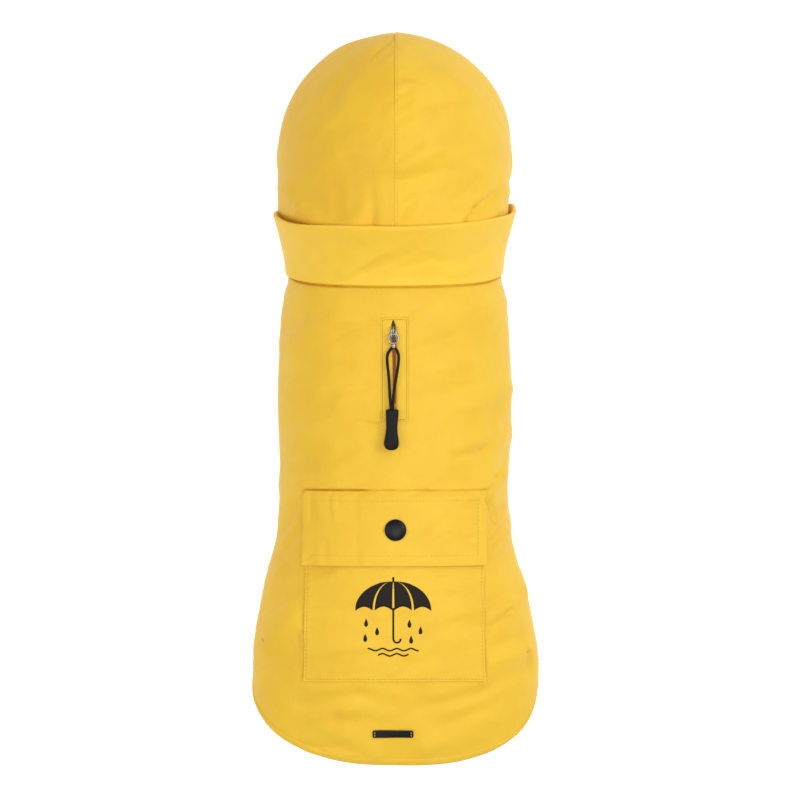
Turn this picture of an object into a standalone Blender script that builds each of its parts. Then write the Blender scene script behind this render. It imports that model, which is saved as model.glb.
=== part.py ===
# Hooded raincoat for a small dog, filled out as it is worn: the back panel and the chest panel
# close round a barrel-shaped body, a fold-over collar and a two-piece hood stand at the neck, and
# the back runs on over the rump as an open skirt with a rounded hem.
# Metres, +Y towards the head, +X to the right seen from above, +Z up. The origin is on the inner
# face of the back panel, on the centre line, half-way along the coat.

from collections import namedtuple
from math import asin, cos, exp, hypot, pi, radians, sin, sqrt

import bmesh
import bpy
from mathutils import Vector

MM = 0.001

# Cloth
WALL = 1.0 * MM
SEAM = 0.3 * MM
LAID = 0.45 * MM

# Body
NECK_Y = 71.0 * MM
BELLY_END_Y = -84.0 * MM
BELLY_END_BOW = 18.0 * MM
CORNER_Y = -162.0 * MM
TAIL_LENGTH = 57.6 * MM
TAIL_ROUNDNESS = 0.8
SIDE_SEAM = radians(125)
HEM_CORNER = radians(97)
STRAIGHT_SHARE = 0.55
LEG_HOLE_Y = 34.0 * MM
LEG_HOLE_HALF_LENGTH = 25.0 * MM
LEG_HOLE_HALF_ANGLE = radians(21)
HEM_ONSET, TAIL_ONSET = 6.0, 2.5
BACK_COLUMNS, CHEST_COLUMNS = 37, 17
HOLE_STEPS, SEAM_STEPS, SKIRT_STEPS = 10, 11, 10

# Collar
COLLAR_Y = NECK_Y + SEAM
COLLAR_CENTRE_Z = -58.0 * MM
COLLAR_HALF_WIDTH = 63.5 * MM
COLLAR_HALF_HEIGHT = 62.0 * MM
COLLAR_FLARE = 7.9 * MM
COLLAR_RISE = 11.0 * MM
COLLAR_ROLL_GAP = 0.8 * MM
COLLAR_EDGE_GAP = 0.35 * MM
FOLD_Y, FOLD_LEAN, FOLD_BEND = 102.2 * MM, 28.2 * MM, -15.6 * MM
EDGE_Y, EDGE_LEAN, EDGE_BEND = 68.3 * MM, 25.1 * MM, -13.4 * MM
COLLAR_SECTIONS, COLLAR_STEPS = 44, 6
COLLAR_ROLL_START = 0.98

# Hood
HOOD_END = radians(158)
HOOD_SEAM_HALF = 0.15 * MM
HOOD_COLUMNS, HOOD_ROWS = 17, 19

# Pocket with its flap
POCKET_TOP_Y, POCKET_BOTTOM_Y = -62.0 * MM, -168.0 * MM
POCKET_HALF_TOP, POCKET_HALF_BOTTOM = 51.6 * MM, 52.9 * MM
FLAP_TOP_Y, FLAP_BOTTOM_Y = -54.2 * MM, -99.2 * MM
FLAP_HALF_TOP, FLAP_HALF_BOTTOM = 52.5 * MM, 53.1 * MM
FLAP_RISE_LENGTH = 6.0 * MM
SNAP_X, SNAP_Y = 0.6 * MM, -77.6 * MM
SNAP_RADIUS, SNAP_HEIGHT = 6.5 * MM, 2.4 * MM
SNAP_SIDES = 24
POCKET_COLUMNS, POCKET_ROWS = 15, 11

# Leash opening with its zip
WINDOW_HALF_WIDTH = 7.2 * MM
WINDOW_TOP_Y, WINDOW_BOTTOM_Y = 48.0 * MM, -11.6 * MM
SLIT_X = -0.4 * MM
SLIT_HALF_TOP, SLIT_HALF_BOTTOM = 1.35 * MM, 0.25 * MM
TAPE_TOP_Y, TAPE_BOTTOM_Y = 46.5 * MM, -1.0 * MM
TAPE_THICK = 0.6 * MM
ZIP_X = -0.5 * MM
SLIDER_FRONT_Y, SLIDER_BACK_Y = 44.0 * MM, 35.4 * MM
SLIDER_HALF_WIDTH = 1.9 * MM
SLIDER_BASE, SLIDER_TOP = 1.75 * MM, 5.0 * MM
SLIDER_LIP, SLIDER_CROWN_HALF = 1.2 * MM, 2.2 * MM
HINGE_Y, HINGE_LIFT = 39.2 * MM, 3.25 * MM
EYE_HALF_LENGTH, EYE_HALF_HEIGHT = 1.2 * MM, 0.85 * MM

# Zip pull
RING_HALF_WIDTH, RING_LENGTH = 2.8 * MM, 5.3 * MM
RING_WIRE = 0.55 * MM
RING_SQUARENESS = 0.35
RING_STEPS, RING_SIDES = 24, 8
SLEEVE_RADIUS, SLEEVE_LENGTH = 1.1 * MM, 2.4 * MM
SLEEVE_SIDES = 12
CORD_RADIUS = 0.7 * MM
CORD_STEPS, CORD_SIDES = 41, 8
PULL_LIFT = 2.75 * MM
GRIP_LIFT = 4.0 * MM
GRIP_SQUARENESS, GRIP_SIDES = 0.7, 16

# Name plate near the hem, left plain
PLATE_X, PLATE_Y = -0.9 * MM, -199.5 * MM
PLATE_HALF_WIDTH, PLATE_HALF_LENGTH = 12.1 * MM, 2.25 * MM
PLATE_THICK = 0.8 * MM

YELLOW = (0.90, 0.58, 0.06)
ORANGE = (0.50, 0.11, 0.01)
BLACK = (0.02, 0.02, 0.02)
SILVER = (0.75, 0.75, 0.74)

# Cross-sections of the body in millimetres, from the tail to the neck: place along the back, half
# width, height of the spine line, and height of the half above and below the widest level.
Section = namedtuple("Section", "y half_width spine upper lower")
SECTIONS = (
    Section(-226, 86.5, -25.0, 46.0, 36.0),
    Section(-195, 86.3, -13.2, 50.0, 40.0),
    Section(-165, 85.6, -5.0, 54.0, 44.0),
    Section(-135, 83.2, -0.8, 57.0, 47.0),
    Section(-108, 77.4, 0.8, 59.0, 50.0),
    Section(-84, 71.7, 1.0, 60.0, 52.0),
    Section(-50, 68.2, 1.0, 61.5, 56.0),
    Section(0, 69.7, 1.0, 63.0, 62.0),
    Section(50, 67.7, 1.0, 62.5, 65.0),
    Section(64, 66.5, 2.0, 61.8, 63.5),
    Section(71, 64.4, 2.9, 61.0, 61.5),
)

# Ribs of the hood in millimetres, from the neck seam (0) to the face edge (1): where each meets
# the centre seam, where its two ends would meet under the chin, and its half width.
Rib = namedtuple("Rib", "turn seam_y seam_z chin_y chin_z half_width")
HOOD_RIBS = (
    Rib(0.0, 71.6, 2.2, 72.2, -117.6, 61.9),
    Rib(0.1, 85.0, 6.0, 75.5, -116.8, 62.0),
    Rib(0.2, 103.0, 12.5, 79.5, -115.8, 63.0),
    Rib(0.3, 126.0, 20.0, 84.0, -114.8, 65.8),
    Rib(0.4, 150.0, 24.0, 89.0, -113.8, 69.0),
    Rib(0.5, 175.0, 19.5, 94.0, -112.8, 70.6),
    Rib(0.6, 197.0, 6.5, 98.5, -111.8, 70.6),
    Rib(0.7, 211.5, -11.5, 102.5, -110.8, 69.2),
    Rib(0.8, 218.8, -30.0, 106.0, -109.8, 67.0),
    Rib(0.9, 218.5, -45.0, 109.0, -109.2, 64.5),
    Rib(1.0, 213.0, -57.0, 111.0, -108.8, 61.5),
)

# Largest folds in millimetres, seen from above: the two ends of each, its breadth and its height.
Fold = namedtuple("Fold", "x1 y1 x2 y2 breadth height")
BODY_FOLDS = (
    Fold(-62, 33, -36, 47, 7, 1.0),
    Fold(-58, -22, -30, 0, 7, 1.0),
    Fold(46, -3, 66, 7, 6, 1.2),
    Fold(38, -33, 64, -20, 6, 1.3),
    Fold(42, -57, 62, -44, 6, 1.2),
    Fold(62, -134, 78, -112, 7, 1.3),
    Fold(-80, -150, -62, -128, 7, 1.2),
    Fold(-40, -195, -14, -207, 7, 1.0),
    Fold(20, -206, 52, -190, 8, 1.0),
)
HOOD_FOLDS = (
    Fold(4, 149, 24, 157, 6, 0.9),
    Fold(32, 110, 55, 131, 6, 1.2),
    Fold(38, 104, 66, 126, 5, 1.0),
    Fold(-26, 106, -12, 124, 6, 0.9),
    Fold(-60, 128, -40, 146, 8, 0.8),
)

# Outline of the moulded grip in millimetres: distance from its upper end, half width, half depth.
Station = namedtuple("Station", "along half_width half_depth")
GRIP_STATIONS = (
    Station(0.0, 3.3, 1.7),
    Station(0.8, 3.75, 2.1),
    Station(8.0, 3.4, 2.0),
    Station(15.0, 3.2, 1.9),
    Station(19.0, 3.7, 2.1),
    Station(22.0, 4.3, 2.2),
    Station(23.6, 3.7, 1.9),
    Station(24.3, 2.6, 1.3),
)
GRIP_TOP_Y = -5.6 * MM
GRIP_TOP_X, GRIP_LEAN_X = -1.3 * MM, -0.6 * MM

# Cord loop of the zip pull in millimetres, from one end in the grip round to the other.
Knot = namedtuple("Knot", "place x y lift")
CORD_ROUTE = (
    Knot(0, -2.4, -5.2, 3.6),
    Knot(1, -2.9, 3.0, 2.7),
    Knot(2, -2.8, 14.0, 2.5),
    Knot(3, -4.6, 24.0, 2.5),
    Knot(4, -3.4, 28.6, 2.6),
    Knot(5, -0.6, 29.5, 2.7),
    Knot(6, 2.2, 28.6, 2.6),
    Knot(7, 3.2, 24.5, 2.5),
    Knot(8, 1.8, 12.0, 2.5),
    Knot(9, 0.5, 2.0, 2.7),
    Knot(10, -0.3, -5.2, 3.6),
)


def between(table, place, column):
    """Smooth value of a table's column at a place along its first column."""
    last = len(table) - 1
    index = 0
    while index < last - 1 and place > table[index + 1][0]:
        index += 1

    def slope(at):
        low, high = max(at - 1, 0), min(at + 1, last)
        rise = getattr(table[high], column) - getattr(table[low], column)
        return rise / (table[high][0] - table[low][0])

    span = table[index + 1][0] - table[index][0]
    share = min(max((place - table[index][0]) / span, 0.0), 1.0)
    start, end = getattr(table[index], column), getattr(table[index + 1], column)
    square, cube = share ** 2, share ** 3
    value = (2 * cube - 3 * square + 1) * start + (3 * square - 2 * cube) * end
    value += (cube - 2 * square + share) * span * slope(index)
    return value + (cube - square) * span * slope(index + 1)


def eased(share):
    share = min(max(share, 0.0), 1.0)
    return share * share * (3 - 2 * share)


def squared(wave, squareness):
    """Sine or cosine flattened towards a square wave as the squareness falls below 1."""
    return abs(wave) ** squareness * (1 if wave >= 0 else -1)


def fold_height(folds, x, y):
    """Height that the folds add at a place seen from above."""
    total = 0.0
    for fold in folds:
        run_x, run_y = fold.x2 - fold.x1, fold.y2 - fold.y1
        length = hypot(run_x, run_y)
        off_x, off_y = x / MM - fold.x1, y / MM - fold.y1
        along = (off_x * run_x + off_y * run_y) / length
        across = (off_y * run_x - off_x * run_y) / length
        beyond = max(-along, along - length, 0.0)
        total += fold.height * exp(-(across / fold.breadth) ** 2 - (beyond / fold.breadth) ** 2)
    return total * MM


def seen_from_above(angle):
    """1 where a surface faces up, falling to 0 where it turns under, so that folds end there."""
    return eased(cos(angle) * 4 + 0.4)


def normal_of(surface, a, b):
    """Outward direction of a surface whose first parameter runs to the right over the top."""
    step = 1e-4
    across = surface(a + step, b) - surface(a - step, b)
    along = surface(a, b + step) - surface(a, b - step)
    return across.cross(along).normalized()


def body_form(angle, y):
    half_width = between(SECTIONS, y / MM, "half_width") * MM
    spine = between(SECTIONS, y / MM, "spine") * MM
    upper = between(SECTIONS, y / MM, "upper") * MM
    lower = between(SECTIONS, y / MM, "lower") * MM
    height = upper if cos(angle) > 0 else lower
    return Vector((half_width * sin(angle), y, spine - upper + height * cos(angle)))


def body(angle, y, lift=0.0):
    """Point on the outer face of the body, or lifted off it."""
    point = body_form(angle, y)
    raised = fold_height(BODY_FOLDS, point.x, y) * seen_from_above(angle)
    return point + normal_of(body_form, angle, y) * (raised + lift)


def over_back(x, y, lift=0.0):
    """Point over a place on the back, seen from above."""
    half_width = between(SECTIONS, y / MM, "half_width") * MM
    return body(asin(x / half_width), y, lift)


def hood_form(angle, turn):
    rib = {name: between(HOOD_RIBS, turn, name) * MM for name in Rib._fields[1:]}
    share = (1 + cos(angle)) / 2
    y = rib["chin_y"] + (rib["seam_y"] - rib["chin_y"]) * share
    z = rib["chin_z"] + (rib["seam_z"] - rib["chin_z"]) * share
    return Vector((rib["half_width"] * sin(angle), y, z))


def hood(angle, turn, lift=0.0):
    point = hood_form(angle, turn)
    raised = fold_height(HOOD_FOLDS, point.x, point.y) * seen_from_above(angle) * eased(turn * 8)
    return point + normal_of(hood_form, angle, turn) * (raised + lift)


def leaned(start, lean, bend, angle):
    drop = (1 - cos(angle)) / 2
    return start + lean * drop + bend * drop * drop


def collar(angle, rise):
    """Outer face of the collar's stand, from the neck seam (0) to the fold (1)."""
    climb = max(rise, 0.0)
    flare = COLLAR_FLARE * climb ** 1.5
    x = (COLLAR_HALF_WIDTH + flare) * sin(angle)
    y = COLLAR_Y + rise * (leaned(FOLD_Y, FOLD_LEAN, FOLD_BEND, angle) - COLLAR_Y)
    z = COLLAR_CENTRE_Z + COLLAR_RISE * climb ** 1.3
    return Vector((x, y, z + (COLLAR_HALF_HEIGHT + flare) * cos(angle)))


def material(name, colour, roughness, metallic=0.0):
    made = bpy.data.materials.new(name)
    made.use_nodes = True
    shader = made.node_tree.nodes["Principled BSDF"]
    shader.inputs["Base Color"].default_value = (*colour, 1.0)
    shader.inputs["Roughness"].default_value = roughness
    shader.inputs["Metallic"].default_value = metallic
    return made


def finish(name, mesh_edit, colour, roughness=0.6, metallic=0.0, parent=None):
    """Makes a named object of an edited mesh, with its own material."""
    bmesh.ops.triangulate(mesh_edit, faces=mesh_edit.faces[:], quad_method="BEAUTY")
    mesh = bpy.data.meshes.new(name)
    mesh_edit.to_mesh(mesh)
    mesh_edit.free()
    mesh.shade_smooth()
    mesh.set_sharp_from_angle(angle=radians(40))
    mesh.materials.append(material(name, colour, roughness, metallic))
    made = bpy.data.objects.new(name, mesh)
    bpy.context.scene.collection.objects.link(made)
    if parent:
        made.parent = parent
        made.matrix_parent_inverse = parent.matrix_world.inverted()
    return made


def closed_loop(sections):
    """Closed band through sections of equal length, the last joined to the first."""
    edit = bmesh.new()
    rings = [[edit.verts.new(point) for point in section] for section in sections]
    count = len(rings[0])
    for here, ring in enumerate(rings):
        following = rings[(here + 1) % len(rings)]
        for side in range(count):
            other = (side + 1) % count
            edit.faces.new((ring[side], ring[other], following[other], following[side]))
    bmesh.ops.recalc_face_normals(edit, faces=edit.faces[:])
    return edit


def capped_tube(sections):
    """Tube through sections of equal length, with a flat cap at each end."""
    edit = bmesh.new()
    rings = [[edit.verts.new(point) for point in section] for section in sections]
    count = len(rings[0])
    for ring, following in zip(rings, rings[1:]):
        for side in range(count):
            other = (side + 1) % count
            edit.faces.new((ring[side], ring[other], following[other], following[side]))
    edit.faces.new(rings[0][::-1])
    edit.faces.new(rings[-1])
    bmesh.ops.recalc_face_normals(edit, faces=edit.faces[:])
    return edit


def sheet_wall(outer, inner):
    """Closed wall between two grids of points, rows of equal length."""
    edit = bmesh.new()
    tops = [[edit.verts.new(point) for point in row] for row in outer]
    bottoms = [[edit.verts.new(point) for point in row] for row in inner]
    rows, columns = len(tops), len(tops[0])
    for row in range(rows - 1):
        for column in range(columns - 1):
            corners = ((row, column), (row, column + 1), (row + 1, column + 1), (row + 1, column))
            edit.faces.new([tops[r][c] for r, c in corners])
            edit.faces.new([bottoms[r][c] for r, c in reversed(corners)])
    rim = [(0, c) for c in range(columns)] + [(r, columns - 1) for r in range(1, rows)]
    rim += [(rows - 1, c) for c in range(columns - 2, -1, -1)] + [(r, 0) for r in range(rows - 2, 0, -1)]
    for (r, c), (s, d) in zip(rim, rim[1:] + rim[:1]):
        edit.faces.new((tops[r][c], bottoms[r][c], bottoms[s][d], tops[s][d]))
    bmesh.ops.recalc_face_normals(edit, faces=edit.faces[:])
    return edit


def cloth(name, surface, places, thickness=WALL, lift=lambda a, b: 0.0, colour=YELLOW):
    """Cloth wall whose outer face passes through places on a surface, lifted off it."""
    outer = [[surface(a, b, lift(a, b) + thickness) for a, b in row] for row in places]
    inner = [[surface(a, b, lift(a, b)) for a, b in row] for row in places]
    return finish(name, sheet_wall(outer, inner), colour)


def spread(start, end, count):
    return [start + (end - start) * step / (count - 1) for step in range(count)]


def leg_hole_reach(y):
    """How far the edge of a leg hole stands off the side seam, as an angle."""
    share = (y - LEG_HOLE_Y) / LEG_HOLE_HALF_LENGTH
    return LEG_HOLE_HALF_ANGLE * sqrt(max(1 - share * share, 0.0))


def side_edges():
    """Places along the side of the back panel, from the neck to the corner of the hem."""
    around_hole = [LEG_HOLE_Y + LEG_HOLE_HALF_LENGTH * cos(turn) for turn in spread(0, pi, HOLE_STEPS + 1)]
    seam = spread(LEG_HOLE_Y - LEG_HOLE_HALF_LENGTH, BELLY_END_Y, SEAM_STEPS + 1)[1:]
    skirt = spread(BELLY_END_Y, CORNER_Y, SKIRT_STEPS + 1)[1:]
    return [NECK_Y, (NECK_Y + around_hole[0]) / 2] + around_hole + seam + skirt


def back_panel_place(across, edge_y):
    """Angle and place along the back of a point of the back panel; across runs from -1 to 1."""
    side = 1 if across > 0 else -1
    share = abs(across)
    skirt = eased((BELLY_END_Y - edge_y) / (BELLY_END_Y - CORNER_Y))
    edge = SIDE_SEAM - leg_hole_reach(edge_y) + (HEM_CORNER - SIDE_SEAM) * skirt
    straight = SIDE_SEAM * STRAIGHT_SHARE
    angle = SIDE_SEAM * share
    if share > STRAIGHT_SHARE:
        angle = straight + (edge - straight) * (share - STRAIGHT_SHARE) / (1 - STRAIGHT_SHARE)
    length = (NECK_Y - edge_y) / (NECK_Y - CORNER_Y)
    turn = pi / 2 * share
    hem_angle = asin(sin(turn) ** TAIL_ROUNDNESS) * HEM_CORNER / (pi / 2)
    angle += (hem_angle - angle) * length ** HEM_ONSET
    bow = max(cos(turn), 0.0) ** TAIL_ROUNDNESS
    return side * angle, edge_y - TAIL_LENGTH * length ** TAIL_ONSET * bow


def add_body():
    edges = side_edges()
    places = [[back_panel_place(across, y) for across in spread(-1, 1, BACK_COLUMNS)] for y in edges]
    cloth("back_panel", body, places, lift=lambda a, b: -WALL)

    gap = SEAM / COLLAR_HALF_HEIGHT
    rows = []
    for y in edges:
        if y >= BELLY_END_Y:
            start = SIDE_SEAM + leg_hole_reach(y) + gap
            bow = BELLY_END_BOW * ((NECK_Y - y) / (NECK_Y - BELLY_END_Y)) ** 3
            angles = spread(start, 2 * pi - start, CHEST_COLUMNS)
            rows.append([(angle, y + bow * sin((angle - start) / (pi - start) * pi / 2) ** 2)
                         for angle in angles])
    cloth("chest_panel", body, rows, lift=lambda a, b: -WALL)


def collar_profile(angle):
    """Section through the folded collar: up the stand, round the fold and down the fall."""
    edge_y = leaned(EDGE_Y, EDGE_LEAN, EDGE_BEND, angle)
    edge = (edge_y - COLLAR_Y) / (leaned(FOLD_Y, FOLD_LEAN, FOLD_BEND, angle) - COLLAR_Y)

    def at(rise, lift):
        return collar(angle, rise) + normal_of(collar, angle, rise) * lift

    def gap(rise):
        return COLLAR_EDGE_GAP + (COLLAR_ROLL_GAP - COLLAR_EDGE_GAP) * max(rise, 0.0)

    def roll(radius, turns):
        out = normal_of(collar, angle, 1.0)
        ahead = (collar(angle, 1.0) - collar(angle, 0.99)).normalized()
        centre = at(1.0, COLLAR_ROLL_GAP / 2)
        return [centre - out * radius * cos(turn) + ahead * radius * sin(turn) for turn in turns]

    inner_radius = COLLAR_ROLL_GAP / 2
    stand = spread(0.0, COLLAR_ROLL_START, COLLAR_STEPS)
    fall = spread(COLLAR_ROLL_START, edge, COLLAR_STEPS)
    points = [at(rise, 0.0) for rise in stand]
    points += roll(inner_radius, (pi * 0.25, pi * 0.75))
    points += [at(rise, gap(rise)) for rise in fall]
    points += [at(rise, gap(rise) + WALL) for rise in reversed(fall)]
    points += roll(inner_radius + WALL, (pi * 0.8, pi * 0.5, pi * 0.2))
    points += [at(rise, -WALL) for rise in reversed(stand)]
    return points


def add_collar():
    sections = [collar_profile(2 * pi * step / COLLAR_SECTIONS) for step in range(COLLAR_SECTIONS)]
    finish("collar", closed_loop(sections), YELLOW)


def add_hood():
    for name, side in (("hood_left", -1), ("hood_right", 1)):
        def half(angle, turn, lift, side=side):
            point = hood(angle, turn, lift)
            return Vector((side * (abs(point.x) + HOOD_SEAM_HALF), point.y, point.z))

        places = [[(angle, turn) for angle in spread(0.0, HOOD_END, HOOD_COLUMNS)]
                  for turn in spread(0.0, 1.0, HOOD_ROWS)]
        cloth(name, half, places, lift=lambda a, b: -WALL)


def on_back(name, rows, lift=lambda x, y: LAID, thickness=WALL, colour=YELLOW):
    """Piece laid on the back panel, over rows of places seen from above."""
    return cloth(name, over_back, rows, thickness, lift, colour)


def rectangle(half_top, half_bottom, top_y, bottom_y, columns, ys):
    rows = []
    for y in ys:
        half = half_top + (half_bottom - half_top) * (top_y - y) / (top_y - bottom_y)
        rows.append([(x, y) for x in spread(-half, half, columns)])
    return rows


def flap_lift(x, y):
    return LAID + (WALL + LAID) * eased((FLAP_TOP_Y - y) / FLAP_RISE_LENGTH)


def add_pocket():
    rows = rectangle(POCKET_HALF_TOP, POCKET_HALF_BOTTOM, POCKET_TOP_Y, POCKET_BOTTOM_Y,
                     POCKET_COLUMNS, spread(POCKET_TOP_Y, POCKET_BOTTOM_Y, POCKET_ROWS))
    on_back("pocket", rows)
    ys = spread(FLAP_TOP_Y, FLAP_TOP_Y - FLAP_RISE_LENGTH, 4)
    ys += spread(FLAP_TOP_Y - FLAP_RISE_LENGTH, FLAP_BOTTOM_Y, 5)[1:]
    rows = rectangle(FLAP_HALF_TOP, FLAP_HALF_BOTTOM, FLAP_TOP_Y, FLAP_BOTTOM_Y, POCKET_COLUMNS, ys)
    on_back("pocket_flap", rows, flap_lift)


def add_snap():
    seat = over_back(SNAP_X, SNAP_Y, flap_lift(SNAP_X, SNAP_Y) + WALL + SEAM).z
    shape = ((0.94, 0.0), (1.0, 0.12), (1.0, 0.32), (0.9, 0.62), (0.72, 0.84), (0.45, 0.97), (0.2, 1.0))
    sections = []
    for radius, height in shape:
        ring = [(2 * pi * step / SNAP_SIDES, radius * SNAP_RADIUS) for step in range(SNAP_SIDES)]
        sections.append([Vector((SNAP_X + r * cos(a), SNAP_Y + r * sin(a), seat + height * SNAP_HEIGHT))
                         for a, r in ring])
    finish("snap_cap", capped_tube(sections), BLACK, 0.35)


def slit_half(y):
    share = (WINDOW_TOP_Y - y) / (WINDOW_TOP_Y - WINDOW_BOTTOM_Y)
    return SLIT_HALF_TOP + (SLIT_HALF_BOTTOM - SLIT_HALF_TOP) * share


def add_zip():
    ys = spread(WINDOW_TOP_Y, WINDOW_BOTTOM_Y, 7)
    left = [[(x, y) for x in spread(-WINDOW_HALF_WIDTH, SLIT_X - slit_half(y), 3)] for y in ys]
    right = [[(x, y) for x in spread(SLIT_X + slit_half(y), WINDOW_HALF_WIDTH, 3)] for y in ys]
    on_back("zip_welt_left", left)
    on_back("zip_welt_right", right)
    rows = []
    for y in spread(TAPE_TOP_Y, TAPE_BOTTOM_Y, 6):
        half = slit_half(y) - SEAM
        rows.append([(SLIT_X - half, y), (SLIT_X + half, y)])
    on_back("zip_tape", rows, thickness=TAPE_THICK, colour=ORANGE)
    add_slider()


def add_slider():
    ground = over_back(ZIP_X, HINGE_Y).z
    eye_z = ground + HINGE_LIFT
    front, back = SLIDER_FRONT_Y, SLIDER_BACK_Y
    low, high = ground + SLIDER_BASE, ground + SLIDER_TOP
    # Eight places round the eye, each with the nearest point of the eye and of the outside.
    outside = ((front, low), (HINGE_Y, low), (back, low), (back, low + SLIDER_LIP),
               (HINGE_Y - SLIDER_CROWN_HALF, high), (HINGE_Y, high), (HINGE_Y + SLIDER_CROWN_HALF, high),
               (front, low + SLIDER_LIP))
    inside = ((1, -1), (0, -1), (-1, -1), (-1, 0), (-1, 1), (0, 1), (1, 1), (1, 0))
    sections = []
    for (y, z), (ahead, above) in zip(outside, inside):
        eye_y, eye_height = HINGE_Y + ahead * EYE_HALF_LENGTH, eye_z + above * EYE_HALF_HEIGHT
        left, right = ZIP_X - SLIDER_HALF_WIDTH, ZIP_X + SLIDER_HALF_WIDTH
        sections.append([Vector((left, y, z)), Vector((right, y, z)),
                         Vector((right, eye_y, eye_height)), Vector((left, eye_y, eye_height))])
    finish("zip_slider", closed_loop(sections), SILVER, 0.3, 1.0)


def tube_rings(path, radius, sides, closed=False):
    """Round sections at right angles to a path."""
    rings = []
    count = len(path)
    for index, point in enumerate(path):
        ahead = path[(index + 1) % count] if closed else path[min(index + 1, count - 1)]
        behind = path[index - 1] if closed else path[max(index - 1, 0)]
        along = (ahead - behind).normalized()
        up = Vector((0, 0, 1))
        aside = along.cross(up).normalized()
        up = aside.cross(along)
        turns = [2 * pi * step / sides for step in range(sides)]
        rings.append([point + aside * radius * cos(turn) + up * radius * sin(turn) for turn in turns])
    return rings


def add_pull():
    ground = over_back(ZIP_X, HINGE_Y).z
    hinge = bpy.data.objects.new("zip_pull", None)
    hinge.location = (ZIP_X, HINGE_Y, ground + HINGE_LIFT)
    bpy.context.scene.collection.objects.link(hinge)
    bpy.context.view_layer.update()

    # Oval ring through the slider's eye, its far side lower and nearer the cloth
    path = []
    for step in range(RING_STEPS):
        turn = 2 * pi * step / RING_STEPS
        back = RING_LENGTH * (1 - cos(turn)) / 2
        side = RING_HALF_WIDTH * squared(sin(turn), RING_SQUARENESS)
        drop = (HINGE_LIFT - PULL_LIFT) * back / RING_LENGTH
        path.append(Vector((ZIP_X + side, HINGE_Y - back, ground + HINGE_LIFT - drop)))
    rings = tube_rings(path, RING_WIRE, RING_SIDES, True)
    finish("pull_ring", closed_loop(rings), SILVER, 0.25, 1.0, hinge)

    # Sleeve between the ring and the cord
    start = HINGE_Y - RING_LENGTH - RING_WIRE - SEAM
    ends = [Vector((ZIP_X, start - share * SLEEVE_LENGTH, ground + PULL_LIFT)) for share in (0, 0.5, 1)]
    rings = tube_rings(ends, SLEEVE_RADIUS, SLEEVE_SIDES)
    finish("pull_sleeve", capped_tube(rings), SILVER, 0.25, 1.0, hinge)

    # Cord loop
    path = []
    for place in spread(0, CORD_ROUTE[-1].place, CORD_STEPS):
        x, y, lift = (between(CORD_ROUTE, place, name) * MM for name in ("x", "y", "lift"))
        path.append(Vector((x, y, over_back(x, y).z + lift)))
    finish("pull_cord", capped_tube(tube_rings(path, CORD_RADIUS, CORD_SIDES)), BLACK, 0.7, 0.0, hinge)

    # Moulded grip
    sections = []
    for station in GRIP_STATIONS:
        y = GRIP_TOP_Y - station.along * MM
        centre_x = GRIP_TOP_X + GRIP_LEAN_X * station.along / GRIP_STATIONS[-1].along
        centre_z = over_back(centre_x, GRIP_TOP_Y).z + GRIP_LIFT
        ring = []
        for step in range(GRIP_SIDES):
            turn = 2 * pi * step / GRIP_SIDES
            wide = squared(cos(turn), GRIP_SQUARENESS)
            deep = squared(sin(turn), GRIP_SQUARENESS)
            ring.append(Vector((centre_x + wide * station.half_width * MM, y,
                                centre_z + deep * station.half_depth * MM)))
        sections.append(ring)
    finish("pull_grip", capped_tube(sections), BLACK, 0.55, 0.0, hinge)


def add_name_plate():
    xs = spread(PLATE_X - PLATE_HALF_WIDTH, PLATE_X + PLATE_HALF_WIDTH, 9)
    ys = spread(PLATE_Y + PLATE_HALF_LENGTH, PLATE_Y - PLATE_HALF_LENGTH, 3)
    on_back("name_plate", [[(x, y) for x in xs] for y in ys], thickness=PLATE_THICK, colour=BLACK)


for old in list(bpy.data.objects):
    bpy.data.objects.remove(old)
add_body()
add_collar()
add_hood()
add_pocket()
add_snap()
add_zip()
add_pull()
add_name_plate()
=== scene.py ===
from math import asin, ceil, cos, exp, hypot, pi, radians, sin, sqrt

import bmesh
import bpy
from mathutils import Matrix, Vector, noise


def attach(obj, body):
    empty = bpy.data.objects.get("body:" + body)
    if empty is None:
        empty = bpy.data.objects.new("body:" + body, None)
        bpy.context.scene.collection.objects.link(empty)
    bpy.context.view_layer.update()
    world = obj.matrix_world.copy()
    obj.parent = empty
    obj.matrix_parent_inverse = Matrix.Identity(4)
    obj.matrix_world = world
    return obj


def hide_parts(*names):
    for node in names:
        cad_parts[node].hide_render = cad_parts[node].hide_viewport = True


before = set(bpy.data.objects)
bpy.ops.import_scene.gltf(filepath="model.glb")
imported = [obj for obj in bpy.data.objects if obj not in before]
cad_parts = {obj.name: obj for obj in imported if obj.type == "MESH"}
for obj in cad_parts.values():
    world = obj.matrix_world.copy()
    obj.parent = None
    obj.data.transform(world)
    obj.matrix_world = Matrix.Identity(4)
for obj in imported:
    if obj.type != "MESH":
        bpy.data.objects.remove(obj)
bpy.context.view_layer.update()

mm = 0.001
mergeDistance = 1e-6
scene = bpy.context.scene

# Small helpers


def srgb(code):  # sRGB hex to linear
    parts = [int(code[at:at + 2], 16) / 255 for at in (1, 3, 5)]
    return tuple(c / 12.92 if c <= 0.04045 else ((c + 0.055) / 1.055) ** 2.4 for c in parts) + (1.0,)


def addNode(tree, kind, values=None, links=None):
    node = tree.nodes.new("ShaderNode" + kind)
    for key, value in (values or {}).items():
        if isinstance(key, int) or key in node.inputs:
            node.inputs[key].default_value = value
        else:
            setattr(node, key, value)
    for key, source in (links or {}).items():
        tree.links.new(source, node.inputs[key])
    return node


def newMaterial(name, values):
    made = bpy.data.materials.new(name)
    made.use_nodes = True
    tree = made.node_tree
    shader = tree.nodes["Principled BSDF"]
    for key, value in values.items():
        shader.inputs[key].default_value = value
    return made, tree, shader


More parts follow.
